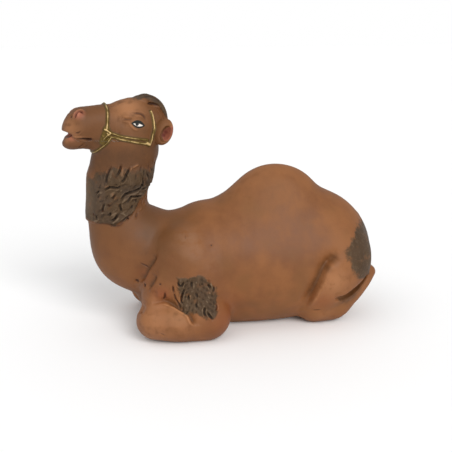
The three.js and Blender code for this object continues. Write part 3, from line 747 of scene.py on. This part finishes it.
NOSE_BAND = [
    (-52, 0, 99.2), (-52.1, -2.8, 98.6), (-52.1, -5.2, 97.4), (-52.4, -6.8, 95.6), (-52.9, -8, 92.7),
    (-53.2, -8.2, 90.4),
]
JAW_STRAP = [
    (-52.1, -9.2, 86.5), (-53.5, -7.9, 84.2), (-55.1, -6.2, 82.5), (-56.7, -3.7, 80.8), (-57, 0, 80),
]
UPPER_STRAND = [
    (-51.6, -9.2, 88.3), (-50.7, -9.6, 88.1), (-48.8, -10.6, 87.3), (-44.5, -11.5, 86.4),
    (-36.8, -10.4, 84.9),
]
LOWER_STRAND = [
    (-52, -9.2, 86.9), (-50.7, -9.7, 86.7), (-48.5, -10.6, 86), (-44.6, -11.5, 85), (-37.4, -10.4, 83.3),
]
HEAD_STRAP = [
    (-36, -9.9, 82.9), (-35.2, -9.6, 84.3), (-34.4, -9.6, 86.7), (-33.7, -9.8, 89.1), (-33.6, -9.1, 91.3),
    (-33.8, -8.7, 93.4), (-34.5, -8.1, 96.3),
]
KNOT_BED = [(-53.4, -8.2, 90.3), (-54, -7.7, 88), (-54.6, -6.9, 85.7), (-55, -6.4, 84.4)]
BRIDLE = [  # line, half its width, its height and its shine
    (KNOT_BED, 1.2, 0.4, 0.15),
    (NOSE_BAND, 0.55, 0.75, 1),
    (JAW_STRAP, 0.5, 0.7, 1),
    (UPPER_STRAND, 0.42, 0.6, 1),
    (LOWER_STRAND, 0.48, 0.6, 1),
    (HEAD_STRAP, 0.62, 0.7, 1),
    ([(-54.2, -7.9, 90), (-53.3, -8.4, 89.6), (-52, -9.1, 88.6)], 0.6, 1.2, 1),
    ([(-54.4, -7.4, 86), (-53.4, -8.4, 87.3), (-51.9, -9.3, 88.4)], 0.55, 1.0, 1),
    ([(-53.4, -8.5, 88.6), (-52.6, -8.9, 87.4)], 0.5, 1.1, 1),
    ([(-37.2, -10.2, 83.6), (-36.3, -9.9, 83)], 0.9, 0.8, 1),
    ([(-55, -6.8, 87.4), (-54, -7.9, 86.6)], 0.4, 0.8, 0.5),
    ([(-54, -7.6, 84.9), (-52.9, -8.7, 86.3)], 0.38, 0.8, 0.4),
]
for stations, width, height, shine in BRIDLE:
    lay(on_head(stations), width, height, shine)

# Face

BROW = [
    (-43.4, -9.6, 96.1), (-41.5, -9.8, 96.1), (-39.9, -9.8, 95.9), (-38.8, -9.8, 95.4), (-37.8, -9.7, 94.2),
    (-37.1, -9.8, 92.4),
]
NOSTRIL = [
    (-65.2, -5, 94.6), (-64.6, -4.5, 95.7), (-63.6, -4, 96.6), (-62.7, -4.2, 96.6), (-62.1, -5.2, 95.9),
]
MOUTH = [(-59.2, -5.5, 85.7), (-60.4, -5.2, 86), (-62.2, -5.2, 86.6), (-64.4, -4.9, 87)]
EYE_CORNER = [(-47.2, -9, 94.2), (-45.6, -9.5, 93.8), (-44.2, -9.8, 93.7), (-42.8, -10.1, 93.5)]
LOWER_LID = [(-44.9, -10, 92.9), (-43.9, -10.5, 91.4), (-42.5, -11, 89.8), (-40.5, -10.9, 89.1)]
FACE_CUTS = [  # line, width, depth, burr, ink
    (NOSTRIL, 0.5, 1.0, 0.5, 0.28),
    ([(-66.9, -3.3, 94.6), (-65.9, -3.2, 95.4)], 0.6, 0.5, 0.2, 0.15),
    (MOUTH, 0.5, 0.9, 0.3, 0),
    ([(-59, -5.6, 85.6), (-60, -5.3, 85.9), (-61.4, -5.2, 86.3)], 0.8, 0.7, 0, 0.5),
    ([(-65.8, -6, 88.9), (-64.7, -6.5, 89), (-63.7, -7, 89.7)], 0.36, 0.45, 0.5, 0),
    (EYE_CORNER, 0.5, 0.38, 0.7, 0),
    ([(-48.9, -10.4, 89), (-49, -10.2, 87.6)], 0.6, 0.25, 0.25, 0),
    ([(-65.5, -2.4, 81.9), (-64, -3.5, 82.5), (-62.1, -4.5, 83.9)], 0.45, 0.4, 0.25, 0),
    (BROW, 0.55, 0.52, 0.3, 0),
]
FACE_SWELLS = [  # line, radius, height
    ([(-68.2, -2.2, 85.6), (-66.4, -4.2, 85.4)], 1.2, 0.35),
    ([(-50.4, -3.6, 98.7), (-49.6, -1.5, 99.3)], 2.0, -1.0),
    ([(-50.9, -6.3, 96.6), (-50.4, -3.6, 98.7)], 1.6, -0.3),
    ([(-46.8, -9.4, 92), (-45.6, -9.7, 91.4)], 0.9, -0.4),
    ([(-42.5, -9.8, 95), (-40, -9.9, 94.8), (-38.6, -9.8, 93.8)], 0.9, 0.35),
]
for stations, width, depth, burr, inked in FACE_CUTS:
    cut(on_head(stations), width, depth, burr, inked)
for stations, radius, height in FACE_SWELLS:
    swell(on_head(stations), radius, height)
raise_line(on_head(LOWER_LID), width=0.5, height=0.4)
raise_line(on_head([(-66, -4.8, 88.2), (-64.6, -5.2, 87.8), (-62.6, -5.6, 87.7)]), width=0.5, height=0.4)

# Forelock

for y in (-4.4, -2.4, -0.6, 1.4, 3.4):
    parting = np.array([(-38.2, 0.7 * y, 101.2), (-34, y, 102.6), (-30.5, y, 100.6), (-28, 0.9 * y, 96.6)])
    cut([from_head(parting)], width=0.4, depth=0.5, burr=0.1)
FORELOCK_SIDE = [(-35, -4.7, 99.3), (-33.6, -4.6, 99.1), (-32, -4.9, 98.7), (-30, -5, 98)]
cut(on_head(FORELOCK_SIDE), width=0.45, depth=0.9, inked=0.2)

# Slight unevenness left by the fingers

UNEVENNESS = 0.12
FOOT = 0.3
x, y, z = start.T
waves = np.sin(x / 5.1 + 0.8 * np.sin(z / 6.3))
carved = carved + UNEVENNESS * waves * np.sin(y / 4.3 + 1.7) * np.sin(z / 5.7 + 0.6)
carved[z < FOOT] = 0
box_low, box_high = np.array(cad_box[0]) / MM, np.array(cad_box[1]) / MM
put(figure.data, np.clip(start + outward * carved[:, None], box_low, box_high))


# Paint: what each point is to be painted with is kept as values on the points


EYE_REACH = 9


def keep_value(name, values, limit=5):
    attribute = figure.data.attributes.new(name, "FLOAT", "POINT")
    attribute.data.foreach_set("value", np.clip(values, -limit, limit).astype(np.float32))


def inside(points, outline):
    """How far points of a plane are inside an outline, negative outside."""
    outline = np.array(outline, float)
    distance = np.full(len(points), FAR)
    within = np.zeros(len(points), bool)
    for a, b in zip(outline, np.roll(outline, -1, axis=0)):
        distance = np.minimum(distance, span_distance(points, a, b)[0])
        crosses = (a[1] > points[:, 1]) != (b[1] > points[:, 1])
        rise = b[1] - a[1] if b[1] != a[1] else 1e-9
        within ^= crosses & (points[:, 0] < a[0] + (points[:, 1] - a[1]) * (b[0] - a[0]) / rise)
    return np.where(within, distance, -distance)


TUFT_OUTLINE = [
    (-24.4, 29.4), (-19.7, 29.3), (-13.5, 30.2), (-10.4, 26.6), (-7.8, 21.7), (-8.2, 16.5), (-9.9, 11.9),
    (-13.1, 12.8), (-17.1, 15), (-21.8, 14.9), (-24, 17.1), (-23, 20.8), (-24.2, 24.3),
]
RUFF_UPPER = [
    (0, 68.8), (29, 69), (40, 70), (49, 71.4), (64, 72.4), (73, 73.6), (82, 74.6), (100, 73.6), (113, 71.4),
    (123, 71.7), (131, 72.5), (139, 73.3), (152, 72.5), (180, 73),
]
RUFF_LOWER = [
    (0, 51), (30, 50.6), (42, 50.1), (59, 50.3), (79, 49.3), (97, 51.1), (116, 53.5), (126, 55.7),
    (136, 59.7), (158, 61.6), (170, 65), (180, 66),
]
TAIL_EDGE = [
    (20.5, 63), (22, 59.5), (23.5, 55), (27.4, 52.3), (34.2, 49.2), (38.5, 49.8), (40.7, 52.6),
    (43.1, 54), (45, 58),
]
CROWN_EDGE = [
    (-40, 101.4), (-37, 101.2), (-35, 100.9), (-32.7, 99.8), (-30.5, 98.6), (-28.7, 96.5), (-26.5, 93.5),
]
EAR_PINK = [
    (-26.2, 90.3), (-27.8, 89.9), (-29.5, 88), (-30.1, 85.6), (-29.8, 84.3), (-28.2, 84.6),
    (-26.8, 86.6), (-25.8, 89),
]

HEAD_PLACES = folded(to_head(start))
BODY_PLACES = folded(start)


def hair_depth():
    """How far inside the patches of painted hair each point is, mm, negative outside."""
    x, y, z = start.T
    angle = neck_angle(start)
    round_neck = (np.hypot(x - NECK_X - SHIFT_X, y) < 18) & (z > 40)
    upper, lower = (np.interp(angle, *np.array(edge).T) for edge in (RUFF_UPPER, RUFF_LOWER))
    ruff = np.where(round_neck, np.minimum(0.4 * (upper - z), z - lower), -FAR)
    tuft = np.where(np.abs(y) > 15, 0.7 * inside(start[:, [0, 2]], TUFT_OUTLINE), -FAR)
    head = to_head(start)
    above = head[:, 2] - np.interp(head[:, 0], *np.array(CROWN_EDGE).T)
    crown = np.where(forelock(head) < 2, 0.8 * above, -FAR)
    heights, edges = np.array(TAIL_EDGE).T
    tail = 0.35 * np.minimum(x - np.interp(z, heights, edges), np.minimum(z - 21.5, 45 - z))
    tail = np.minimum(tail, shank(BODY_PLACES - (SHIFT_X, 0, 0)) - 1)
    return np.max([ruff, tuft, crown, tail], axis=0)


def spots(points, marks):
    """Soft round spots, each a middle, a radius and a strength, alike on both sides."""
    result = np.zeros(len(points))
    for *middle, radius, strength in marks:
        away = np.linalg.norm(points - middle, axis=1) / radius
        result = np.maximum(result, strength * np.exp(-(away**2)))
    return result


def shade_under_the_jaw():
    """Painted shade under the jaw: 1 on the neck between the ruff and the head."""
    on_neck = (neck_form(BODY_PLACES - (SHIFT_X, 0, 0)) < 1.2) & (start[:, 2] > 60)
    off_head = smooth_step(head_distance(to_head(start)), -0.2, 1.2)
    return 0.75 * on_neck * off_head * smooth_step(start[:, 2], 66, 75)


def eye_place(axis):
    """Where points lie from the eye's middle, along the head or upwards."""
    beside = (HEAD_PLACES[:, 1] > 5) & (HEAD_PLACES[:, 2] > 85)
    return np.where(beside, HEAD_PLACES[:, axis] - EYE[axis // 2], FAR)


in_ear = (HEAD_PLACES[:, 1] > 7) & (HEAD_PLACES[:, 0] > -31.5)
ear_pink = np.where(in_ear, smooth_step(inside(HEAD_PLACES[:, [0, 2]], EAR_PINK), -0.5, 0.3), 0)

# Soft spots of paint: middle, radius and strength, on the head in its own frame. Among them are painted
# shade, painted highlights and painted sheen

# Painted shade under the chin and jaw, by the mouth's corners, by the eye and about the ear
HEAD_SHADE = [
    (-60.5, 4, 83.2, 2.6, 0.8), (-57, 6, 84.4, 2.6, 0.9), (-64.5, 3, 81.4, 3.0, 0.6),
    (-67.5, 0, 81.8, 2.5, 0.5), (-38, 10.3, 88.4, 1.8, 0.5), (-45.8, 9.3, 92.8, 1.8, 0.45),
    (-51.2, 8.5, 93, 2.2, 0.3), (-33.5, 9, 87, 2.6, 0.6), (-30.8, 9.6, 84.6, 1.6, 0.8),
    (-34, 8.5, 82, 2.2, 0.6),
    (-60.5, 5, 85.8, 1.6, 0.4), (-56.5, 7.4, 86.5, 2, 0.4),
]
BODY_SHADE_AND_WASH = [
    # painted shade at the foot of the neck and on the chest
    (-35, 15, 46, 5, 0.55), (-33, 12, 53, 5, 0.55), (-30, 10, 60, 5, 0.45), (-37, 17.5, 39, 4, 0.5),
    (-38.5, 17.5, 32, 3.5, 0.4), (-25.6, 26, 21, 2.4, 0.35),
    # hump, back and flank: darker brushed patches, and painted shade at the withers and behind the foreleg
    (12, 20, 57, 6, 0.4), (31, 20, 55, 7, 0.35), (1.5, 26, 16, 4.5, 0.35), (20, 13, 60, 13, 0.42),
    (-20, 14, 52, 9, 0.4), (-4, 10, 56, 9, 0.25),
    # painted shade in the thigh fold and in the gap at the hock
    (43.4, 24.6, 33.8, 2.8, 0.85), (40.6, 25.6, 30, 2.0, 0.75), (48.8, 20.6, 12.9, 1.4, 1),
    (50.8, 19.6, 12.4, 2.5, 1), (53, 18.4, 12.2, 3.2, 1), (55.6, 17, 13.8, 3.3, 1),
    (57.8, 16.2, 16.4, 3.2, 1), (60, 15.4, 19.4, 2.9, 1),
]
# Lighter paint on the lips, round the eye and by the ear, and painted highlights on the top of the head and
# the front of the muzzle
HEAD_PALE_AND_HIGHLIGHT = [
    (-44, 6, 97.5, 6, 1), (-67.4, 4, 91, 4, 0.7), (-66.6, 3, 87.1, 1.8, 0.8), (-68.2, 2.4, 85.5, 1.5, 0.7),
    (-64.4, 5.2, 87.7, 0.9, 0.8), (-41, 9.8, 94.8, 1.3, 0.5), (-45.2, 9.7, 91.4, 1.2, 0.5),
    (-26.4, 11, 91, 1.2, 0.6),
]
# Lighter paint on the shins, knees and thigh, and painted highlights on the top of the hump and the front of
# the neck
BODY_PALE_AND_HIGHLIGHT = [
    (-34, 24, 10, 9, 0.8), (-24, 28, 13, 8, 0.6), (43.5, 26, 24, 7, 0.8), (40, 17, 6, 6, 0.4),
    (10, 0, 71, 20, 0.3), (-60, 0, 60, 8, 1),
]
BODY_ROSY = [
    (-31, 25.5, 22, 3.6, 0.9), (-38, 18.5, 29, 3, 0.5), (40, 24, 14, 5, 0.4), (0, 27, 12, 7, 0.5),
    (-6, 27, 10, 6, 0.5),
]
# Painted sheen: a greyish highlight on the shoulder
BODY_SHEEN = [(-19, 20, 45, 5, 0.6), (-17, 21, 40, 5, 0.5), (-12, 22, 34, 5, 0.3), (-19.6, 20.6, 43.4, 0.9, 1)]
NOSE_AND_LIP = [(-63.4, 4.6, 95.6, 2.6, 0.9), (-65.6, 5, 88.6, 1.6, 0.45), (-66.4, 2.8, 87.1, 2.4, 1)]
EAR_HOLE = [(-29.1, 10, 87.6, 1.7, 1), (-29.7, 9.4, 86.4, 1.3, 1)]

# Painted shade, gathered with darker brushed paint
painted_shade_and_wash = np.max([shade_under_the_jaw(), spots(HEAD_PLACES, HEAD_SHADE), shade, spots(BODY_PLACES, BODY_SHADE_AND_WASH)], axis=0)
# Painted highlights, gathered with lighter paint
pale = np.max([spots(HEAD_PLACES, HEAD_PALE_AND_HIGHLIGHT), spots(BODY_PLACES, BODY_PALE_AND_HIGHLIGHT), light], axis=0)

for name, values in {
    "fine": fine,
    "gold": gold,
    "ink": ink,
    "hair": hair_depth(),
    "blush": np.maximum(spots(HEAD_PLACES, NOSE_AND_LIP), ear_pink),
    "dark_red": np.maximum(0.6 * ear_pink, spots(HEAD_PLACES, EAR_HOLE)),
    "painted_sheen": spots(BODY_PLACES, BODY_SHEEN),
    "painted_shade_and_wash": painted_shade_and_wash,
    "pale": pale,
    "rosy": spots(BODY_PLACES, BODY_ROSY),
}.items():
    keep_value(name, values)
keep_value("eye_u", eye_place(0), EYE_REACH)
keep_value("eye_v", eye_place(2), EYE_REACH)

figure.data.calc_loop_triangles()
share = TRIANGLES / len(figure.data.loop_triangles)
if share < 1:
    apply_modifier(figure, "DECIMATE", ratio=share)
figure.data.shade_smooth()


# Materials


def add(tree, kind, inputs=None, **settings):
    """A node with its settings, and its inputs given as values or as sockets to link."""
    made = tree.nodes.new("ShaderNode" + kind)
    for name, value in settings.items():
        setattr(made, name, value)
    for key, value in (inputs or {}).items():
        if isinstance(value, bpy.types.NodeSocket):
            tree.links.new(value, made.inputs[key])
        else:
            made.inputs[key].default_value = value
    return made


def maths(tree, operation, *values):
    return add(tree, "Math", dict(enumerate(values)), operation=operation).outputs[0]


def product(tree, *values):
    result = values[0]
    for value in values[1:]:
        result = maths(tree, "MULTIPLY", result, value)
    return result


def mix(tree, factor, a, b):
    made = add(tree, "Mix", {0: factor, 6: a, 7: b}, data_type="RGBA")
    return made.outputs[2]


def noise(tree, vector, scale, detail=3.0, roughness=0.55):
    inputs = {"Vector": vector, "Scale": scale, "Detail": detail, "Roughness": roughness}
    return add(tree, "TexNoise", inputs).outputs["Fac"]


def ramp(tree, value, low, high):
    """0 below low, 1 above high, smooth between."""
    return add(tree, "MapRange", {"Value": value, "From Min": low, "From Max": high},
               interpolation_type="SMOOTHSTEP").outputs[0]


def value_of(tree, name):
    return add(tree, "Attribute", attribute_name=name).outputs["Fac"]


def group(name, inputs, outputs):
    """An empty node group, what it is given, and what it has to give back."""
    tree = bpy.data.node_groups.new(name, "ShaderNodeTree")
    for socket, kind, default in inputs:
        made = tree.interface.new_socket(socket, in_out="INPUT", socket_type="NodeSocket" + kind)
        made.default_value = default
    for socket, kind in outputs:
        tree.interface.new_socket(socket, in_out="OUTPUT", socket_type="NodeSocket" + kind)
    return tree, tree.nodes.new("NodeGroupInput").outputs, tree.nodes.new("NodeGroupOutput").inputs


def use(tree, made_group, inputs):
    return add(tree, "Group", inputs, node_tree=made_group)


def mottled_group():
    """Two paint tones worked into each other, broad clouds with finer ones over them."""
    tree, given, result = group(
        "mottled paint",
        [("Vector", "Vector", (0, 0, 0)), ("Dark", "Color", (0, 0, 0, 1)),
         ("Light", "Color", (1, 1, 1, 1)), ("Scale", "Float", 40.0)],
        [("Color", "Color"), ("Clouds", "Float")])
    broad = noise(tree, given["Vector"], given["Scale"], 2.0)
    fine = noise(tree, given["Vector"], product(tree, given["Scale"], 5.5), 4.0, 0.6)
    upright = {0: given["Vector"], 1: (1, 1, 0.28)}
    drawn_out = add(tree, "VectorMath", upright, operation="MULTIPLY").outputs[0]
    streaks = noise(tree, drawn_out, product(tree, given["Scale"], 4.0), 3.0)
    clouds = maths(tree, "ADD", product(tree, broad, 0.6), product(tree, fine, 0.22))
    clouds = maths(tree, "ADD", clouds, product(tree, streaks, 0.18))
    clouds = ramp(tree, clouds, 0.36, 0.64)
    tree.links.new(mix(tree, clouds, given["Dark"], given["Light"]), result["Color"])
    tree.links.new(clouds, result["Clouds"])
    return tree


def ragged_group():
    """A mask from a depth in mm, with a brushed, uneven edge."""
    tree, given, result = group(
        "brushed edge",
        [("Vector", "Vector", (0, 0, 0)), ("Depth", "Float", 0.0),
         ("Unevenness", "Float", 1.0), ("Softness", "Float", 0.3)],
        [("Mask", "Float")])
    wobble = maths(tree, "SUBTRACT", noise(tree, given["Vector"], 320.0, 3.0), 0.5)
    depth = maths(tree, "ADD", given["Depth"], product(tree, wobble, given["Unevenness"]))
    softness = given["Softness"]
    tree.links.new(ramp(tree, depth, product(tree, softness, -1.0), softness), result["Mask"])
    return tree


def painted_eye_group():
    """A painted eye: white almond, round iris, heavy upper lid and thinner lower lid."""
    tree, given, result = group(
        "painted eye",
        [("U", "Float", 0.0), ("V", "Float", 0.0)],
        [("White", "Float"), ("Iris", "Float"), ("Lid", "Float")])
    u, v = given["U"], given["V"]
    tilt = math.radians(-14)

    def turned(a, ka, b, kb):
        return maths(tree, "ADD", product(tree, a, ka), product(tree, b, kb))

    def squared(value):
        return maths(tree, "POWER", value, 2.0)

    along = turned(u, math.cos(tilt), v, math.sin(tilt))
    across = turned(v, math.cos(tilt), u, -math.sin(tilt))

    def almond(half_length, above, below):
        bow = squared(maths(tree, "ABSOLUTE", maths(tree, "DIVIDE", along, half_length)))
        room = maths(tree, "SUBTRACT", 1.0, bow)
        over = maths(tree, "SUBTRACT", product(tree, room, above), across)
        under = maths(tree, "ADD", product(tree, room, below), across)
        return ramp(tree, maths(tree, "MINIMUM", over, under), -0.08, 0.08)

    forward = maths(tree, "ADD", along, 0.5)
    upward = maths(tree, "SUBTRACT", across, 0.15)
    reach = maths(tree, "SQRT", maths(tree, "ADD", squared(forward), squared(upward)))
    tree.links.new(almond(2.1, 0.4, 0.7), result["White"])
    tree.links.new(ramp(tree, reach, 0.84, 0.66), result["Iris"])
    tree.links.new(almond(2.95, 1.75, 1.4), result["Lid"])
    return tree


MOTTLED = mottled_group()
RAGGED = ragged_group()
PAINTED_EYE = painted_eye_group()

SKIN_DARK = (0.152, 0.052, 0.0135, 1)
SKIN_LIGHT = (0.224, 0.084, 0.0245, 1)
SKIN_OLIVE = (0.16, 0.064, 0.017, 1)
# painted shade, and darker paint
SKIN_SHADE_AND_WASH = (0.078, 0.031, 0.009, 1)
# lighter paint, and painted highlights
SKIN_PALE_AND_HIGHLIGHT = (0.36, 0.155, 0.062, 1)
SKIN_ROSY = (0.22, 0.054, 0.016, 1)
# painted sheen
SKIN_SHEEN = (0.265, 0.14, 0.078, 1)
SKIN_WASH = (0.045, 0.014, 0.006, 1)
HAIR_DARK = (0.034, 0.019, 0.009, 1)
HAIR_LIGHT = (0.068, 0.038, 0.019, 1)
HAIR_OLIVE = (0.066, 0.035, 0.012, 1)
HAIR_LOW = (0.054, 0.026, 0.007, 1)
HAIR_DRY = (0.19, 0.128, 0.076, 1)
HAIR_WASH = (0.02, 0.011, 0.006, 1)
GOLD_DARK = (0.12, 0.075, 0.014, 1)
# painted highlight on the gold
GOLD_HIGHLIGHT = (0.62, 0.43, 0.19, 1)
# darker colour along the edges of the gold
GOLD_EDGE_DARK = (0.07, 0.038, 0.008, 1)
PINK = (0.42, 0.135, 0.08, 1)
DARK_RED = (0.09, 0.008, 0.004, 1)
INK = (0.06, 0.018, 0.005, 1)
EYE_WHITE = (0.72, 0.66, 0.6, 1)
LID_BLACK = (0.003, 0.004, 0.002, 1)
IRIS = (0.008, 0.01, 0.01, 1)
SPECULAR = 0.3
ROUGHNESS = 0.50
GRAIN = 0.00005
BRUSH_MARKS = 0.00012
CURLS = 0.0006


def skin_colour(tree, place, skin, axes, brushed, sunk, raised):
    """Clay browns with olive clouds, darker towards the head and neck, then the soft spots, among them
    painted sheen, painted shade and painted highlights.
    """
    upward = ramp(tree, axes.outputs["Z"], 0.012, 0.056)
    forward = ramp(tree, axes.outputs["X"], -0.008, -0.036)
    olive = ramp(tree, noise(tree, place, 60.0, 2.0), 0.5, 0.72)
    painted_sheen = ramp(tree, brushed, 0.3, 0.6)
    brushed_pale_and_highlight = ramp(tree, brushed, 0.2, 0.55)
    painted_shade_and_wash = product(tree, value_of(tree, "painted_shade_and_wash"), maths(tree, "ADD", brushed, 0.35))
    worn = noise(tree, place, 420.0)
    colour = mix(tree, product(tree, olive, 0.6), skin.outputs["Color"], SKIN_OLIVE)
    # painted sheen on the shoulder
    colour = mix(tree, product(tree, value_of(tree, "painted_sheen"), painted_sheen, 0.85), colour, SKIN_SHEEN)
    colour = mix(tree, product(tree, value_of(tree, "rosy"), 0.85), colour, SKIN_ROSY)
    # darker towards the head and neck
    colour = mix(tree, product(tree, upward, forward, 0.58), colour, SKIN_SHADE_AND_WASH)
    # lighter paint and painted highlights
    colour = mix(tree, product(tree, value_of(tree, "pale"), brushed_pale_and_highlight, 0.9), colour, SKIN_PALE_AND_HIGHLIGHT)
    # painted shade, with darker brushed paint
    colour = mix(tree, product(tree, ramp(tree, painted_shade_and_wash, 0.05, 0.95), 0.85), colour, SKIN_SHADE_AND_WASH)
    colour = mix(tree, product(tree, sunk, 0.75), colour, SKIN_WASH)
    return mix(tree, product(tree, raised, worn, 0.9), colour, SKIN_PALE_AND_HIGHLIGHT)


def hair_colour(tree, place, axes, fine_relief, raised):
    """Dark brown hair with olive clouds, its ridges brushed light and its cuts washed dark."""
    hair_paint = use(tree, MOTTLED, {"Vector": place, "Dark": HAIR_DARK, "Light": HAIR_LIGHT, "Scale": 130.0})
    olive = ramp(tree, noise(tree, place, 110.0, 2.0), 0.48, 0.62)
    flakes = ramp(tree, noise(tree, place, 620.0, 4.0, 0.65), 0.5, 0.66)
    low_hair = ramp(tree, axes.outputs["Z"], 0.060, 0.044)
    rubbed_and_highlight = maths(tree, "ADD", 0.75, product(tree, low_hair, 0.55))
    dry = maths(tree, "MAXIMUM", raised, product(tree, flakes, 0.25))
    coat = mix(tree, product(tree, olive, 0.7), hair_paint.outputs["Color"], HAIR_OLIVE)
    coat = mix(tree, product(tree, low_hair, 0.6), coat, HAIR_LOW)
    # lighter paint and painted highlights on the hair too
    coat = mix(tree, product(tree, value_of(tree, "pale"), 0.45), coat, HAIR_DRY)
    coat = mix(tree, product(tree, dry, noise(tree, place, 520.0), rubbed_and_highlight), coat, HAIR_DRY)
    return mix(tree, product(tree, ramp(tree, fine_relief, -0.06, -0.55), 0.8), coat, HAIR_WASH)


def painted_clay():
    material = bpy.data.materials.new("painted fired clay")
    material.use_nodes = True
    tree = material.node_tree
    shader = tree.nodes["Principled BSDF"]
    place = add(tree, "TexCoord").outputs["Object"]
    axes = add(tree, "SeparateXYZ", {"Vector": place})
    fine_relief = value_of(tree, "fine")
    sunk = ramp(tree, fine_relief, -0.06, -0.5)
    raised = ramp(tree, fine_relief, 0.08, 0.45)
    brushed = noise(tree, place, 300.0)

    skin = use(tree, MOTTLED, {"Vector": place, "Dark": SKIN_DARK, "Light": SKIN_LIGHT, "Scale": 38.0})
    colour = skin_colour(tree, place, skin, axes, brushed, sunk, raised)
    pink = ramp(tree, value_of(tree, "blush"), 0.15, 0.85)
    colour = mix(tree, product(tree, pink, 0.65), colour, PINK)
    red = maths(tree, "MAXIMUM", ramp(tree, value_of(tree, "dark_red"), 0.3, 0.9), product(tree, pink, sunk))
    colour = mix(tree, product(tree, red, 0.85), colour, DARK_RED)

    # hair, laid over the skin with a ragged edge and thin places
    hair_edge = {"Vector": place, "Depth": value_of(tree, "hair"), "Unevenness": 3.0, "Softness": 0.45}
    hair = use(tree, RAGGED, hair_edge).outputs["Mask"]
    thin = ramp(tree, noise(tree, place, 210.0, 2.0), 0.56, 0.76)
    cover = maths(tree, "SUBTRACT", 0.98, product(tree, thin, 0.45))
    coat = hair_colour(tree, place, axes, fine_relief, raised)
    colour = mix(tree, product(tree, hair, cover), colour, coat)
    colour = mix(tree, product(tree, ramp(tree, value_of(tree, "ink"), 0.14, -0.06), 0.85), colour, INK)

    # gold bridle, darkened along its edges and lighter along the middle of each strap as a painted highlight
    gold_depth = product(tree, value_of(tree, "gold"), -1.0)
    colour = mix(tree, product(tree, ramp(tree, gold_depth, -0.7, -0.05), 0.75), colour, GOLD_EDGE_DARK)
    gold_edge = {"Vector": place, "Depth": gold_depth, "Unevenness": 0.5, "Softness": 0.12}
    gilt = use(tree, RAGGED, gold_edge).outputs["Mask"]
    # painted highlight along the middle of each strap, broken by noise
    rubbed_and_highlight = maths(tree, "ADD", gold_depth, product(tree, noise(tree, place, 500.0, 2.0), 0.8))
    gold_colour = mix(tree, ramp(tree, rubbed_and_highlight, 0.62, 1.0), GOLD_DARK, GOLD_HIGHLIGHT)
    colour = mix(tree, gilt, colour, gold_colour)

    eye = use(tree, PAINTED_EYE, {"U": value_of(tree, "eye_u"), "V": value_of(tree, "eye_v")})
    colour = mix(tree, eye.outputs["Lid"], colour, LID_BLACK)
    eyeball = mix(tree, eye.outputs["Iris"], EYE_WHITE, IRIS)
    colour = mix(tree, eye.outputs["White"], colour, eyeball)
    tree.links.new(colour, shader.inputs["Base Color"])

    rough = maths(tree, "ADD", ROUGHNESS, product(tree, skin.outputs["Clouds"], 0.14))
    rough = maths(tree, "ADD", rough, product(tree, hair, 0.1))
    rough = maths(tree, "SUBTRACT", rough, product(tree, gilt, 0.15))
    tree.links.new(rough, shader.inputs["Roughness"])
    tree.links.new(product(tree, gilt, 0.5), shader.inputs["Metallic"])
    shader.inputs["Specular IOR Level"].default_value = SPECULAR

    grain = product(tree, noise(tree, place, 900.0, 4.0, 0.6), GRAIN)
    curls = product(tree, noise(tree, place, 480.0, 4.0, 0.65), hair, CURLS)
    height = maths(tree, "ADD", maths(tree, "ADD", grain, product(tree, brushed, BRUSH_MARKS)), curls)
    bump = add(tree, "Bump", {"Height": height, "Strength": 0.7, "Distance": 1.0})
    tree.links.new(bump.outputs["Normal"], shader.inputs["Normal"])
    return material


figure.data.materials.append(painted_clay())
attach(figure, "root")
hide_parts("camel_figure")


# Stage: a plain pale floor and soft light


FLOOR_SIZE = 6
FLOOR_TONE = (0.95, 0.95, 0.95, 1)
STUDIO_LIGHT = 0.66
BACKDROP_EXTRA = 0.34


def add_floor():
    bpy.ops.object.select_all(action="DESELECT")
    bpy.ops.mesh.primitive_plane_add(size=FLOOR_SIZE, location=(0, 0, 0))
    floor = bpy.context.object
    floor.name = "floor"
    material = bpy.data.materials.new("pale floor")
    material.use_nodes = True
    shader = material.node_tree.nodes["Principled BSDF"]
    shader.inputs["Base Color"].default_value = FLOOR_TONE
    shader.inputs["Roughness"].default_value = 0.8
    floor.data.materials.append(material)


def add_light(name, azimuth, elevation, strength, softness):
    """A wide soft light from far off, so that the floor is lit evenly."""
    data = bpy.data.lights.new(name, "SUN")
    data.energy = strength
    data.angle = math.radians(softness)
    light = bpy.data.objects.new(name, data)
    light.rotation_euler = direction(azimuth, elevation).to_track_quat("Z", "Y").to_euler()
    bpy.context.collection.objects.link(light)


def add_world():
    """A white studio, brighter behind the figure than the light it gives."""
    world = bpy.data.worlds.new("studio")
    world.use_nodes = True
    tree = world.node_tree
    seen = add(tree, "LightPath").outputs["Is Camera Ray"]
    strength = maths(tree, "ADD", STUDIO_LIGHT, product(tree, seen, BACKDROP_EXTRA))
    tree.nodes["Background"].inputs["Color"].default_value = (1, 1, 1, 1)
    tree.links.new(strength, tree.nodes["Background"].inputs["Strength"])
    bpy.context.scene.world = world


add_floor()
add_light("key light", azimuth=18, elevation=35, strength=1.95, softness=35)
add_light("fill light", azimuth=-60, elevation=50, strength=0.35, softness=50)
add_world()
bpy.context.scene.view_settings.view_transform = "Standard"
